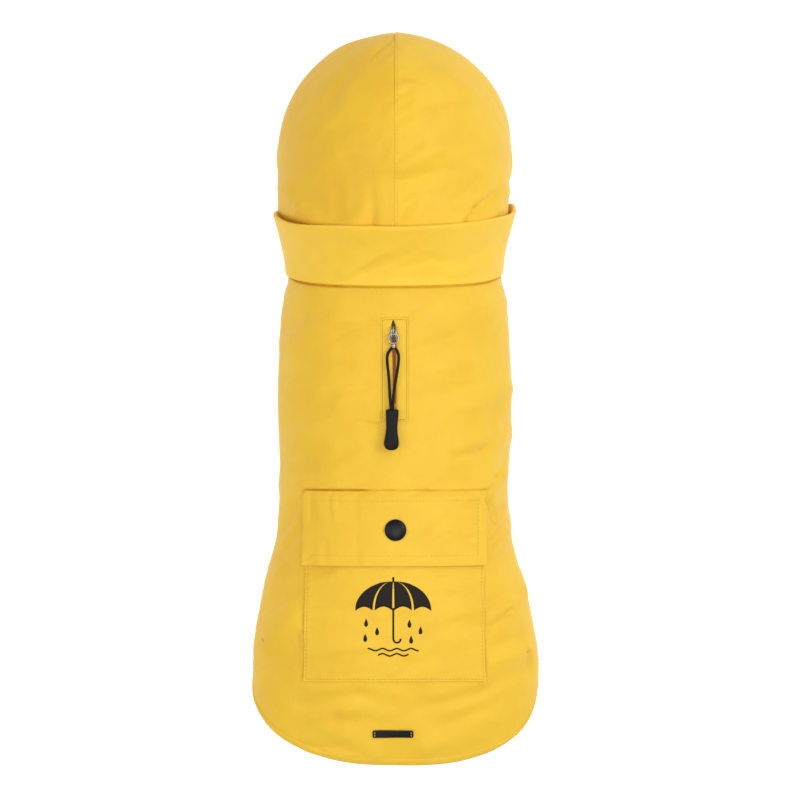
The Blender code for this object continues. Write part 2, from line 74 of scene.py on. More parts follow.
def between(table, place, column):  # smooth value of a column along the first one
    last = len(table) - 1
    index = 0
    while index < last - 1 and place > table[index + 1][0]:
        index += 1
    low, high = table[index], table[index + 1]
    before, after = table[max(index - 1, 0)], table[min(index + 2, last)]
    startSlope = (high[column] - before[column]) / (high[0] - before[0])
    endSlope = (after[column] - low[column]) / (after[0] - low[0])
    span = high[0] - low[0]
    share = min(max((place - low[0]) / span, 0.0), 1.0)
    square, cube = share ** 2, share ** 3
    value = (2 * cube - 3 * square + 1) * low[column] + (3 * square - 2 * cube) * high[column]
    return value + ((cube - 2 * square + share) * startSlope + (cube - square) * endSlope) * span


def eased(share):
    share = min(max(share, 0.0), 1.0)
    return share * share * (3 - 2 * share)


def bell(distance, breadth):
    return exp(-(distance / breadth) ** 2)


def foldHeight(folds, x, y):  # folds as x1, y1, x2, y2, breadth, height in mm
    total = 0.0
    for x1, y1, x2, y2, breadth, height in folds:
        runX, runY = x2 - x1, y2 - y1
        length = hypot(runX, runY)
        along = ((x - x1) * runX + (y - y1) * runY) / length
        across = ((y - y1) * runX - (x - x1) * runY) / length
        beyond = max(-along, along - length, 0.0)
        if abs(across) < 3 * breadth and beyond < 3 * breadth:
            steep = 0.3 * bell(across + 0.45 * breadth, 0.4 * breadth)  # one flank is steeper
            level = 0.8 + 0.7 * (runX / length) ** 2  # folds that run across are deeper
            total += height * level * (bell(across, breadth) + steep) * bell(beyond, breadth)
    return total


def ripple(point, size, seed):  # soft random height, about -1 to 1
    return noise.noise(Vector((point[0] / size, point[1] / size, seed + 0.37)))


def wrinkle(x, y, seed, rise):  # fine long creases that climb towards the right
    along, across = x + rise * y, y - rise * x
    bend = 2.2 * noise.noise(Vector((along / 24, across / 20, seed)))
    return 0.48 * noise.noise(Vector((along / 26, across / 5.6 + bend, seed + 4.0)))


def wayUnder(angle):  # 0 at the top of the garment, 1 underneath
    return (1 - cos(angle)) / 2


def turnedEdge(distance, stitch):  # a turned edge stands up and dips along its stitching, in mm
    return 0.3 * eased((stitch + 0.6 - distance) / 1.0) - 0.26 * bell(distance - stitch, 0.6)


def normalOf(surface, a, b):
    step = 1e-4
    across = surface(a + step, b) - surface(a - step, b)
    along = surface(a, b + step) - surface(a, b - step)
    return across.cross(along).normalized()


def squared(wave, squareness):
    return abs(wave) ** squareness * (1 if wave >= 0 else -1)


def spread(start, end, count):
    return [start + (end - start) * step / (count - 1) for step in range(count)]


def stepped(start, end, step, fine=()):  # places a step apart, closer round the fine ones
    places = set(spread(start, end, max(2, ceil(abs(end - start) / step) + 1)))
    for centre, reach, gap in fine:
        for place in spread(centre - reach, centre + reach, ceil(2 * reach / gap) + 1):
            if min(start, end) < place < max(start, end):
                places.add(place)
    ordered = sorted(places)
    kept = [ordered[0]]
    for place in ordered[1:-1]:
        if place - kept[-1] > step * 0.12 and ordered[-1] - place > step * 0.12:
            kept.append(place)
    return kept + [ordered[-1]]


# Making pieces


def addObject(name, edit, finish, body, node=None):
    mesh = bpy.data.meshes.new(name)
    edit.to_mesh(mesh)
    edit.free()
    mesh.shade_smooth()
    mesh.materials.append(finish)
    made = bpy.data.objects.new(name, mesh)
    scene.collection.objects.link(made)
    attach(made, body)
    if node:
        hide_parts(node)
    return made


def joinEdits(edits):
    joined = bmesh.new()
    for edit in edits:
        part = bpy.data.meshes.new("part")
        edit.to_mesh(part)
        edit.free()
        joined.from_mesh(part)
        bpy.data.meshes.remove(part)
    return joined


def gridSheet(columns, rows, place, uvAt):
    # A grid with a vertex at each column and row, moved onto the surface that place gives
    edit = bmesh.new()
    uvLayer = edit.loops.layers.uv.new("UVMap")
    across, along = len(columns) - 1, len(rows) - 1
    bmesh.ops.create_grid(edit, x_segments=across, y_segments=along, size=1.0)
    where = {}
    for vert in edit.verts:
        column = round((vert.co.x + 1) / 2 * across)
        row = round((vert.co.y + 1) / 2 * along)
        where[vert] = (columns[column], rows[row])
    for face in edit.faces:
        for loop in face.loops:
            loop[uvLayer].uv = uvAt(*where[loop.vert])
    for vert, (a, b) in where.items():
        vert.co = place(a, b)
    return edit


def addWall(made, thickness, rim):
    wall = made.modifiers.new("wall", "SOLIDIFY")
    wall.thickness = thickness
    wall.offset = -1
    edge = made.modifiers.new("rim", "BEVEL")
    edge.width = rim
    edge.segments = 2
    edge.limit_method = "ANGLE"
    edge.angle_limit = radians(50)


def addCloth(name, node, edit, finish, thickness, rim):
    made = addObject(name, edit, finish, "coat", node)
    addWall(made, thickness, rim)
    return made


def runLengths(points):
    lengths = [0.0]
    for here, following in zip(points, points[1:]):
        lengths.append(lengths[-1] + (following - here).length)
    return lengths


def makeStitches(name, runs, settings, finish):
    # Runs are lists of (point, normal); each stitch is a slim bead laid along its run
    half = settings["pitch"] * settings["share"] / 2
    radius = settings["gauge"] / 2
    edits = []
    for run in runs:
        lengths = runLengths([point for point, _ in run])
        count = max(1, round(lengths[-1] / settings["pitch"]))
        edit = bmesh.new()
        at = 0
        for stitch in range(count):
            centre = (stitch + 0.5) / count * lengths[-1]
            while at < len(run) - 2 and lengths[at + 1] < centre:
                at += 1
            share = (centre - lengths[at]) / (lengths[at + 1] - lengths[at])
            point = run[at][0].lerp(run[at + 1][0], share)
            along = (run[at + 1][0] - run[at][0]).normalized()
            up = run[at][1].lerp(run[at + 1][1], share).normalized()
            side = along.cross(up).normalized()
            up = side.cross(along)
            turn = Matrix((side * radius, up * radius * 0.8, along * half)).transposed().to_4x4()
            turn.translation = point + up * radius * settings["proud"]
            bmesh.ops.create_uvsphere(edit, u_segments=6, v_segments=4, radius=1.0, matrix=turn)
        bmesh.ops.recalc_face_normals(edit, faces=edit.faces[:])
        edits.append(edit)
    addObject(name, joinEdits(edits), finish, "coat")


def tubeEdit(path, section, sides, closed=False):
    # A grid wrapped round a path: section gives (aside, up) for a turn and an index of the path
    edit = bmesh.new()
    uvLayer = edit.loops.layers.uv.new("UVMap")
    points = path + [path[0]] if closed else path
    last = len(points) - 1
    lengths = runLengths(points)
    frames = []
    for index, point in enumerate(points):
        ahead = points[min(index + 1, last)] if not (closed and index == last) else points[1]
        behind = points[max(index - 1, 0)] if not (closed and index == 0) else points[-2]
        along = (ahead - behind).normalized()
        aside = along.cross(Vector((0, 0, 1))).normalized()
        frames.append((point, aside, aside.cross(along)))
    bmesh.ops.create_grid(edit, x_segments=sides, y_segments=last, size=1.0)
    where = {}
    for vert in edit.verts:
        where[vert] = (round((vert.co.x + 1) / 2 * sides), round((vert.co.y + 1) / 2 * last))
    for face in edit.faces:
        for loop in face.loops:
            side, row = where[loop.vert]
            loop[uvLayer].uv = (side / sides, lengths[row])
    for vert, (side, row) in where.items():
        point, aside, up = frames[row]
        wide, high = section(2 * pi * side / sides, row)
        vert.co = point + aside * wide + up * high
    bmesh.ops.remove_doubles(edit, verts=edit.verts[:], dist=mergeDistance)
    if not closed:
        open_ = [edge for edge in edit.edges if edge.is_boundary]
        bmesh.ops.holes_fill(edit, edges=open_, sides=0)
    bmesh.ops.recalc_face_normals(edit, faces=edit.faces[:])
    return edit


def roundSection(radius, high=None):
    return lambda turn, row: (radius * cos(turn), (high or radius) * sin(turn))


# The body's form, as the solids have it, with the cloth's finer relief

wallThickness = 1.0 * mm
rimWidth = 0.3 * mm
neckY, bellyEndY, cornerY = 71.0, -84.0, -162.0
sideSeam, hemCorner = radians(125), radians(97)
straightShare = 0.55  # of the half panel, beside the spine, before the columns lean to the leg hole
# mm of cloth for each radian round the body, at its side seams, at the skirt's edge and round the neck
bodyRound, seamRound, skirtRound, neckRound = 64, 62, 66, 66
holeRadius = 23.5
tailDrop = 57.6

bodySections = (  # y, half width, spine height, height above and below the widest level
    (-226, 86.5, -25.0, 46.0, 36.0), (-195, 86.3, -13.2, 50.0, 40.0), (-165, 85.6, -5.0, 54.0, 44.0),
    (-135, 83.2, -0.8, 57.0, 47.0), (-108, 77.4, 0.8, 59.0, 50.0), (-84, 71.7, 1.0, 60.0, 52.0),
    (-50, 69.2, 1.0, 61.5, 56.0), (0, 70.5, 1.0, 63.0, 62.0), (50, 68.5, 1.0, 62.5, 65.0),
    (64, 66.5, 2.0, 61.8, 63.5), (71, 64.4, 2.9, 61.0, 61.5),
)
bodyFolds = (  # the large folds, as the solids have them
    (-62, 33, -36, 47, 7, 1.0), (-58, -22, -30, 0, 7, 1.0), (46, -3, 66, 7, 6, 1.2),
    (38, -33, 64, -20, 6, 1.3), (42, -57, 62, -44, 6, 1.2), (62, -134, 78, -112, 7, 1.3),
    (-80, -150, -62, -128, 7, 1.2), (-40, -195, -14, -207, 7, 1.0), (20, -206, 52, -190, 8, 1.0),
)
bodyCreases = (  # smaller ridges and troughs of the back, seen from above
    (-67, 42, -57, 49, 3.5, -0.7), (-57, 33, -30, 42, 4, -0.5), (-33, 41, -16, 47, 4, -0.6),
    (-63, 15, -27, 20, 4, -0.6), (-60, 24, -38, 30, 4.5, 0.5), (-66, 0, -45, 7, 4, 0.5),
    (-39, 3, -18, 9, 4, -0.5), (-63, -15, -39, -6, 4, -0.6), (-63, -30, -39, -24, 4.5, 0.6),
    (-66, -38, -50, -40, 4, -0.9), (-42, -37, -24, -28, 4, -0.6), (-57, -48, -33, -45, 4, 0.5),
    (10, 29, 33, 37, 4, -0.6), (33, 37, 63, 48, 4, -0.6), (15, 18, 45, 23, 5, 0.5),
    (15, 1, 63, 13, 4, -0.55), (57, -18, 67, 6, 2.0, -1.7), (36, -34, 52, -30, 3, -1.7),
    (54, -28, 66, -15, 3, -1.5), (39, -27, 60, -15, 4.5, 0.8), (53, -60, 61, -46, 1.8, -1.9),
    (61, -46, 67, -33, 1.8, -1.5), (56, -58, 65, -44, 3, 1.1), (7, 47, 13, 52, 1.6, -0.6),
    (-18, -14, -9, -15, 1.6, -0.7), (-16, -24, -8, -30, 3, -0.4), (21, -52, 45, -50, 4, -0.4),
    (-58, -63, -65, -78, 3, -1.6), (-57, -77, -67, -96, 3.4, -1.5), (-57, -90, -72, -114, 3.8, -1.1),
    (-58, -70, -66, -86, 2.6, 0.8), (-60, -86, -70, -105, 3, 0.7), (56.5, -62, 62, -72, 1.7, -2.1),
    (58, -73, 67, -65, 2.4, -1.5), (57, -87, 68, -73, 2.2, -1.7), (58, -99, 70, -89, 3.2, -1.2),
    (59, -80, 67, -70, 2.2, 1.1), (58, -93, 69, -81, 2.8, 1.1), (58, -121, 75, -114, 3.4, -1.0),
    (57, -136, 69, -127, 2.4, -1.6), (69, -127, 76, -115, 2.4, -1.5), (60, -128, 72, -120, 3, 0.8),
    (60, -147, 76, -142, 3, -0.9), (76, -143, 85, -133, 3, -0.9), (58, -157, 78, -151, 3.6, 0.7),
    (60, -168, 81, -163, 4, -0.7), (78, -150, 82, -161, 1.3, -1.3), (81, -150, 84, -162, 1.8, 0.8),
    (-80, -124, -57, -113, 4.4, -0.8), (-82, -144, -57, -135, 4.4, 0.7), (-84, -161, -61, -151, 4.4, -0.8),
    (-57, -142, -55, -148, 1.6, -1.0), (-78, -176, -58, -166, 5, 0.6), (-57, -182, -21, -175, 4.4, -0.65),
    (-21, -175, 3, -184, 4.4, -0.45), (-50, -172, -14, -170, 4, 0.5), (-57, -198, -36, -190, 4, -0.55),
    (-36, -190, -2, -193, 4, -0.35), (-48, -190, -20, -184, 4, 0.6), (15, -182, 53, -174, 4.4, -0.6),
    (53, -174, 81, -158, 4.4, -0.75), (24, -176, 56, -167, 4.4, 0.6), (27, -194, 63, -180, 4, -0.55),
    (30, -188, 60, -176, 3.6, 0.6), (18, -207, 51, -201, 4.4, 0.6), (-39, -210, -9, -213, 4.4, 0.5),
    (-57, -205, -21, -209, 4, -0.5), (-78, -60, -66, -50, 4, 0.5),
)
sideCreases = (  # ridges and troughs of the sides and belly, by the distance round and y
    (-128, 64, -112, 46, 5, -0.8), (-150, 20, -126, 2, 6, 0.9), (-134, -8, -108, -26, 6, -0.8),
    (-126, -34, -100, -50, 6, 0.8), (-120, -62, -98, -78, 7, -0.9), (-108, -96, -92, -118, 7, 0.9),
    (108, 60, 128, 44, 5, 0.8), (112, 6, 136, 18, 6, -0.8), (104, -20, 132, -8, 6, 0.9),
    (100, -46, 130, -36, 6, -0.8), (98, -74, 118, -64, 6, 0.9), (94, -112, 106, -94, 7, -0.8),
    (152, 50, 178, 40, 7, 0.8), (160, 6, 196, -8, 8, -0.9), (158, -30, 200, -22, 8, 0.9),
    (176, 20, 204, 30, 7, 0.7), (214, 4, 238, 14, 7, -0.8), (206, -36, 236, -46, 7, 0.8),
    (186, -58, 214, -64, 6, -0.6), (168, -48, 190, -56, 6, 0.6),
)
legHole = {"y": 34.0, "halfLength": 25.0, "halfAngle": radians(21), "hem": 4.6}
window = {"halfWidth": 7.2, "top": 48.0, "bottom": -11.6, "corner": 1.6, "depth": 0.6,
          "rim": 0.3, "stitch": 1.2}
flapSize = {"top": -54.2, "bottom": -99.2, "halfTop": 52.5, "halfBottom": 53.1, "inset": 6.1,
            "rightShift": 1.6}
pocketSize = {"top": -62.0, "bottom": -168.0, "halfTop": 52.3, "halfBottom": 53.8, "stitch": 1.1}
hem = {"stitch": 5.0, "roll": 1.1}


def pocketHalf(y):
    share = (pocketSize["top"] - y) / (pocketSize["top"] - pocketSize["bottom"])
    return pocketSize["halfTop"] + (pocketSize["halfBottom"] - pocketSize["halfTop"]) * share


def flapHalf(y):
    share = (flapSize["top"] - y) / (flapSize["top"] - flapSize["bottom"])
    return flapSize["halfTop"] + (flapSize["halfBottom"] - flapSize["halfTop"]) * share


def besideDip(x, y):  # how far the cloth dips beside the flap and the pocket, in mm
    if abs(x) < 50 or abs(x) > 62:
        return 0.0
    ends = eased((flapSize["top"] + 3 - y) / 5) * eased((y - flapSize["bottom"] + 6) / 9)
    dip = ends * (0.5 * bell(abs(x) - flapHalf(y) - 2.0, 1.9) + 1.0 * bell(abs(x) - flapHalf(y) - 0.5, 0.8))
    sides = eased((flapSize["bottom"] + 2 - y) / 5) * eased((y - pocketSize["bottom"] + 1) / 3)
    return dip + 1.1 * sides * bell(abs(x) - pocketHalf(y) - 0.4, 0.7)


def collarEdgeY(angle):  # the fall's free edge
    drop = wayUnder(angle)
    if drop > 0.5:
        return 77.2 - 1.0 * eased((drop - 0.5) * 2)
    return 68.0 + 9.5 * drop + 17.8 * drop * drop


def neckLift(angle):  # the neck seam rises round the sides, in mm
    drop = wayUnder(angle)
    return 7.6 * drop * drop * (3 - 2 * drop)


def seenFromAbove(angle):
    return eased(cos(angle) * 4 + 0.4)


def bodyForm(angle, y):
    yy = y / mm
    halfWidth, spine, upper, lower = (between(bodySections, yy, column) * mm for column in (1, 2, 3, 4))
    height = upper if cos(angle) > 0 else lower
    return Vector((halfWidth * sin(angle), y, spine - upper + height * cos(angle)))


def windowDistance(x, y):  # to the rounded outline of the leash window, negative inside
    middle = (window["top"] + window["bottom"]) / 2
    half = (window["top"] - window["bottom"]) / 2
    beyondX = abs(x) - window["halfWidth"] + window["corner"]
    beyondY = abs(y - middle) - half + window["corner"]
    outside = hypot(max(beyondX, 0.0), max(beyondY, 0.0))
    return outside + min(max(beyondX, beyondY), 0.0) - window["corner"]


def windowRelief(x, y):
    if abs(x) > 12 or not -17 < y < 53:
        return 0.0
    distance = windowDistance(x, y)
    height = -(window["depth"] + window["rim"]) * eased((0.25 - distance) / 0.5)
    height += window["rim"] * eased((distance + 0.3) / 0.3) * eased((3.4 - distance) / 1.6)
    height -= 0.3 * bell(distance - window["stitch"], 0.4)
    pucker = ripple((x, y), 2.6, 5.1) * bell(distance - 2.6, 1.6)
    return height + 0.14 * pucker * (distance > 0)


def downPanel(edgeY):  # from 0 at the neck seam to 1 at the corner of the hem
    return (neckY - edgeY) / (neckY - cornerY)


def skirtEdge(edgeY):  # where the back panel ends round the body; the skirt's edge swings up
    return sideSeam + (hemCorner - sideSeam) * eased((bellyEndY - edgeY) / (bellyEndY - cornerY))


def tailStretch(angle, edgeY):  # the rows lie further apart towards the tail
    return 1 + 0.62 * downPanel(edgeY) ** 1.5 * max(cos(angle), 0.0)


def hemDistance(angle, edgeY):  # from a place on the back panel to its hem, in mm
    toTail = (edgeY - cornerY) * tailStretch(angle, edgeY)
    if edgeY > bellyEndY + 4:
        return toTail
    toSide = (skirtEdge(edgeY) - abs(angle)) * skirtRound
    return min(toTail, max(toSide, 0.0) + max(edgeY - bellyEndY, 0.0) * 2)


def bodyRelief(angle, y, edgeY=None):  # in mm
    yy = y / mm
    turned = angle - 2 * pi if angle > pi else angle
    onTop = cos(angle) > 0
    x = between(bodySections, yy, 1) * sin(angle)
    top = seenFromAbove(angle)
    inner = eased(cos(angle) * 2.4)
    height = foldHeight(bodyFolds, x, yy) * top + foldHeight(bodyCreases, x, yy) * inner
    if top < 1:  # the table counts both ways from the spine
        onward = angle % (2 * pi) * bodyRound
        height += (foldHeight(sideCreases, onward, yy)
                   + foldHeight(sideCreases, onward - 2 * pi * bodyRound, yy)) * (1 - top)
    swell = Vector((x / 33, yy / 29, cos(angle) * 2.1))
    height += 0.5 * noise.noise(swell) + 0.16 * noise.noise(swell * 3.1 + Vector((7.0, 3.0, 1.0)))
    height += wrinkle(x, yy, 1.7 + cos(angle), 0.3) * (0.4 + 0.6 * inner)
    # the right hip is fuller and the right flank slimmer than the solids have them
    height += 1.5 * eased((x - 62) / 18) * bell(yy + 152, 17) - 1.5 * eased((x - 58) / 9) * bell(yy + 68, 17)
    # neck seam, side seams and leg holes draw the cloth in and pucker it
    toNeck = neckY + neckLift(angle) - yy
    height -= 0.25 * bell(toNeck, 1.2)
    gathers = noise.noise(Vector((14 * cos(angle), 14 * sin(angle), 2.57 + toNeck / 15)))
    height += 0.3 * gathers * bell(toNeck - 3, 5)
    toSeam = (sideSeam - abs(turned)) * seamRound
    alongHole = (yy - legHole["y"]) / legHole["halfLength"]
    if yy > bellyEndY - 6:
        height -= 0.75 * bell(toSeam, 1.3)
        height += 0.32 * ripple((toSeam * 0.3, yy), 4.4, 8.4) * bell(toSeam, 6)
    if abs(toSeam) < 40 and abs(yy - legHole["y"]) < 36:
        toHole = (hypot(alongHole, toSeam / seamRound / legHole["halfAngle"]) - 1) * holeRadius
        height += 0.35 * eased((legHole["hem"] + 0.6 - toHole) / 1.0)
        height -= 0.28 * bell(toHole - legHole["hem"], 0.6) + 0.7 * bell(toHole, 0.6) * (abs(alongHole) < 1)
        height += 0.3 * ripple((toSeam, yy), 4.2, 3.3) * bell(toHole - legHole["hem"] - 2, 3.5)
    if onTop:
        # the lips of the leash window lie in a recess with a turned, stitched rim
        height += windowRelief(x, yy)
        height -= besideDip(x, yy)
    # cloth stands up a little against the top edge of the flap, most at its left
    toFlap = yy - flapSize["top"]
    if onTop and abs(toFlap) < 9 and abs(x) < 62:
        reach = 0.28 + 0.7 * eased((-x - 15) / 6) + 0.35 * ripple((x, 0.0), 9.0, 6.1)
        ridge = 0.8 * bell(toFlap - 2.0, 1.3) - 2.0 * bell(toFlap - 0.25, 0.45)
        height += eased((55.5 - abs(x)) / 2) * reach * ridge
    # the shadowed line under the collar's edge, deepest at its left
    if onTop and yy > 60:
        height -= (1.4 + 1.0 * eased((-x - 10) / 30)) * bell(yy - collarEdgeY(turned) + 0.5, 0.65)
    # hem, whose edge turns under at the lower right
    if edgeY is not None and edgeY / mm < bellyEndY + 4:
        toHem = hemDistance(turned, edgeY / mm)
        curl = eased((x - 34) / 20) * eased((-172 - yy) / 16)
        height += turnedEdge(toHem, hem["stitch"]) - 0.5 * bell(toHem, 0.7)
        pucker = ripple((x + turned * bodyRound * 0.3, yy), 4.4, 6.6)
        height += 0.22 * pucker * bell(toHem - hem["stitch"] - 1.5, 3.5)
        height -= hem["roll"] * eased((3.2 - toHem) / 3.2) ** 2
        height -= 2.0 * curl * eased((4.6 - toHem) / 4.6) ** 1.5
    return height


def body(angle, y, lift=0.0, edgeY=None):
    normal = normalOf(bodyForm, angle, y)
    return bodyForm(angle, y) + normal * (bodyRelief(angle, y, edgeY) * mm + lift)


def overBack(x, y, lift=0.0):  # x, y and lift in mm
    halfWidth = between(bodySections, y, 1)
    return body(asin(x / halfWidth), y * mm, lift * mm)


def overBackNormal(x, y):
    halfWidth = between(bodySections, y, 1)
    return normalOf(bodyForm, asin(x / halfWidth), y * mm)


def legHoleReach(y):
    share = (y - legHole["y"]) / legHole["halfLength"]
    return legHole["halfAngle"] * sqrt(max(1 - share * share, 0.0))


def backPanelPlace(across, edgeY):  # across from -1 to 1, edgeY in mm along the side edge
    side = 1 if across > 0 else -1
    share = abs(across)
    straight = sideSeam * straightShare
    angle = sideSeam * share
    if share > straightShare:
        edge = skirtEdge(edgeY) - legHoleReach(edgeY)
        angle = straight + (edge - straight) * (share - straightShare) / (1 - straightShare)
    length = downPanel(edgeY)
    turn = pi / 2 * share
    hemAngle = asin(sin(turn) ** 0.8) * hemCorner / (pi / 2)
    angle += (hemAngle - angle) * length ** 6
    # the tail hangs a little to the right
    swing = 0.05 * length ** 5 * cos(turn) * (1 + 0.4 * sin(side * turn))
    if side < 0:
        swing += 0.05 * length ** 4 * sin(2 * turn)
    return side * angle + swing, edgeY - tailDrop * length ** 2.5 * max(cos(turn), 0.0) ** 0.8


# Materials

waveScale = 0.314  # a Wave texture of this scale repeats once in each unit
cloth = {"thread": 0.9 * mm, "blotch": 26 * mm, "crumple": 9 * mm}


def noiseNode(tree, size, detail, **more):
    place = addNode(tree, "TexCoord")
    made = addNode(tree, "TexNoise", {"Scale": 1 / size, "Detail": detail, **more},
                   {"Vector": place.outputs["Object"]})
    return made.outputs["Fac"]


def waveNode(tree, place, scale, way, distortion=0.0):
    return addNode(tree, "TexWave", {"Scale": scale, "Distortion": distortion, "bands_direction": way},
                   {"Vector": place}).outputs["Fac"]


def bumpNode(tree, height, strength, distance, normal=None):
    links = {"Height": height, "Normal": normal} if normal else {"Height": height}
    return addNode(tree, "Bump", {"Strength": strength, "Distance": distance}, links).outputs["Normal"]


def varyRoughness(tree, shader, factor, low, high):
    ranged = addNode(tree, "MapRange", {"To Min": low, "To Max": high}, {"Value": factor})
    tree.links.new(ranged.outputs["Result"], shader.inputs["Roughness"])


def vary(tree, shader, factor, tones, bump=None, rough=None):
    # Colour between two tones, with a relief and a range of roughness, all from one factor
    tone = addNode(tree, "Mix", {"data_type": "RGBA", 6: srgb(tones[0]), 7: srgb(tones[1])}, {0: factor})
    tree.links.new(tone.outputs[2], shader.inputs["Base Color"])
    if bump:
        tree.links.new(bumpNode(tree, factor, *bump), shader.inputs["Normal"])
    if rough:
        varyRoughness(tree, shader, factor, *rough)
    return tone.outputs[2]


def coatedPolyester(name, *tones):
    # Woven polyester with a matt coating: an even yellow that blooms paler where it turns away
    made, tree, shader = newMaterial(name, {
        "Specular IOR Level": 0.3, "Sheen Weight": 0.06, "Sheen Roughness": 0.42,
        "Sheen Tint": srgb("#FFE6DC")})
    vary(tree, shader, noiseNode(tree, cloth["blotch"], 3.0), tones)
    crumple = noiseNode(tree, cloth["crumple"], 4.0, Roughness=0.55)
    varyRoughness(tree, shader, crumple, 0.5, 0.64)
    # plain weave, drawn coarser than its real 0.3 mm so that it shows
    uv = addNode(tree, "UVMap", {"uv_map": "UVMap"})
    warp, weft = (waveNode(tree, uv.outputs["UV"], waveScale / cloth["thread"], way, 1.6) for way in "XY")
    weave = addNode(tree, "Math", {"operation": "MULTIPLY"}, {0: warp, 1: weft})
    soft = bumpNode(tree, crumple, 0.5, 0.9 * mm)
    tree.links.new(bumpNode(tree, weave.outputs[0], 0.3, 0.07 * mm, soft), shader.inputs["Normal"])
    return made


def polyesterThread(name, *tones):
    # Spun sewing thread: near the cloth's own yellow, a little glossier, with a fine twist
    made, tree, shader = newMaterial(name, {"Roughness": 0.5, "Sheen Weight": 0.2, "Sheen Roughness": 0.4})
    vary(tree, shader, noiseNode(tree, 0.5 * mm, 1.0), tones, (0.3, 0.08 * mm))
    return made


def wovenTape(name, *tones):
    # Zip tape of ribbed polyester: dull orange brown, its ribs 0.6 mm apart
    made, tree, shader = newMaterial(name, {"Roughness": 0.62, "Sheen Weight": 0.15})
    place = addNode(tree, "TexCoord").outputs["Object"]
    rib = waveNode(tree, place, waveScale / (0.6 * mm), "Y", 0.6)
    tone = vary(tree, shader, rib, tones, (0.4, 0.12 * mm))
    # painted shade: dark brown from just past the slider's front to the tape's top end, for the shadowed
    # inside of the open slit
    axes = addNode(tree, "SeparateXYZ", links={"Vector": place})
    toEnd = addNode(tree, "MapRange", {"From Min": 42.0 * mm, "From Max": 44.5 * mm},
                    {"Value": axes.outputs["Y"]})
    paintedEndShade = addNode(tree, "Mix", {"data_type": "RGBA", 7: srgb("#2E1B0C")},
                    {0: toEnd.outputs["Result"], 6: tone})
    tree.links.new(paintedEndShade.outputs[2], shader.inputs["Base Color"])
    return made


def nickelPlate(name, *tones):
    # Die-cast zinc with bright nickel plate, lightly rubbed; its darker copy is painted shade
    made, tree, shader = newMaterial(name, {"Metallic": 1.0})
    vary(tree, shader, noiseNode(tree, 1.2 * mm, 4.0), tones, rough=(0.16, 0.36))
    return made


def braidedCord(name, *tones):
    # Black polyester cord: eight strands crossing, each about 0.7 mm wide
    made, tree, shader = newMaterial(name, {
        "Roughness": 0.7, "Specular IOR Level": 0.2, "Sheen Weight": 0.04})
    uv = addNode(tree, "UVMap", {"uv_map": "UVMap"})
    strands = []
    for slant in (1, -1):
        turned = addNode(tree, "Mapping", {"Scale": (4.0, 1 / (1.4 * mm), 1.0),
                                           "Rotation": (0, 0, slant * pi / 4)}, {"Vector": uv.outputs["UV"]})
        strands.append(waveNode(tree, turned.outputs["Vector"], waveScale, "X"))
    crossed = addNode(tree, "Math", {"operation": "MAXIMUM"}, {0: strands[0], 1: strands[1]})
    vary(tree, shader, crossed.outputs[0], tones, (0.6, 0.2 * mm))
    return made


def grainedBlack(name, tones, grain, strength, roughness):
    # A black moulded or painted skin with an even fine grain that breaks up its shine
    made, tree, shader = newMaterial(name, {"Specular IOR Level": 0.2})
    vary(tree, shader, noiseNode(tree, grain, 3.0), tones, (strength, 0.12 * mm),
         (roughness - 0.07, roughness + 0.09))
    return made


yellowCloth = coatedPolyester("coatedPolyester", "#E5B731", "#EFC73A")
# a lighter copy of the body's cloth: painted light on the collar
collarLitCloth = coatedPolyester("collarLitPolyester", "#EEC239", "#F6CE43")
hoodLeftShadedCloth = coatedPolyester("hoodLeftShadedPolyester", "#E0B12D", "#EAC135")  # a darker copy of the cloth: painted shade on the hood's left half, turned from the key light
yellowThread = polyesterThread("yellowThread", "#C6A638", "#E2C44A")
oliveThread = polyesterThread("oliveThread", "#B39B35", "#D3BC4C")
orangeTape = wovenTape("wovenZipTape", "#8E4207", "#BD6110")
orangeCoil = wovenTape("nylonCoil", "#A34C0A", "#C97016")
brightNickel = nickelPlate("brightNickel", "#7C7A77", "#BDBCB9")
# a darker copy of the nickel: painted shade on the slider's body under its bridge
shadedNickel = nickelPlate("shadedNickel", "#4B4845", "#75726F")
blackBraid = braidedCord("braidedCord", "#080809", "#1B1B1C")
blackRubber = grainedBlack("mouldedRubber", ("#09090A", "#161617"), 0.6 * mm, 0.7, 0.55)
blackPaint = grainedBlack("blackPaintedBrass", ("#0B0A0D", "#1B1A1E"), 0.9 * mm, 0.5, 0.34)
blackPlastic = grainedBlack("satinPlastic", ("#111112", "#1C1C1D"), 0.7 * mm, 0.2, 0.42)
blackInk = grainedBlack("screenPrintInk", ("#191613", "#25211D"), 0.8 * mm, 0.2, 0.7)
print("materials made")

# Body panels


def bodyUv(angle, y):
    return (angle * bodyRound * mm, y * mm)


def raisedToNeck(angle, y):  # rows near the neck follow the rise of its seam, in mm
    return y + neckLift(angle) * eased((y - 58) / 13)


def edgeYAt(y):  # side-edge place whose row crosses the centre line at y
    guess = y
    for _ in range(12):
        guess = y + tailDrop * downPanel(guess) ** 2.5
    return guess


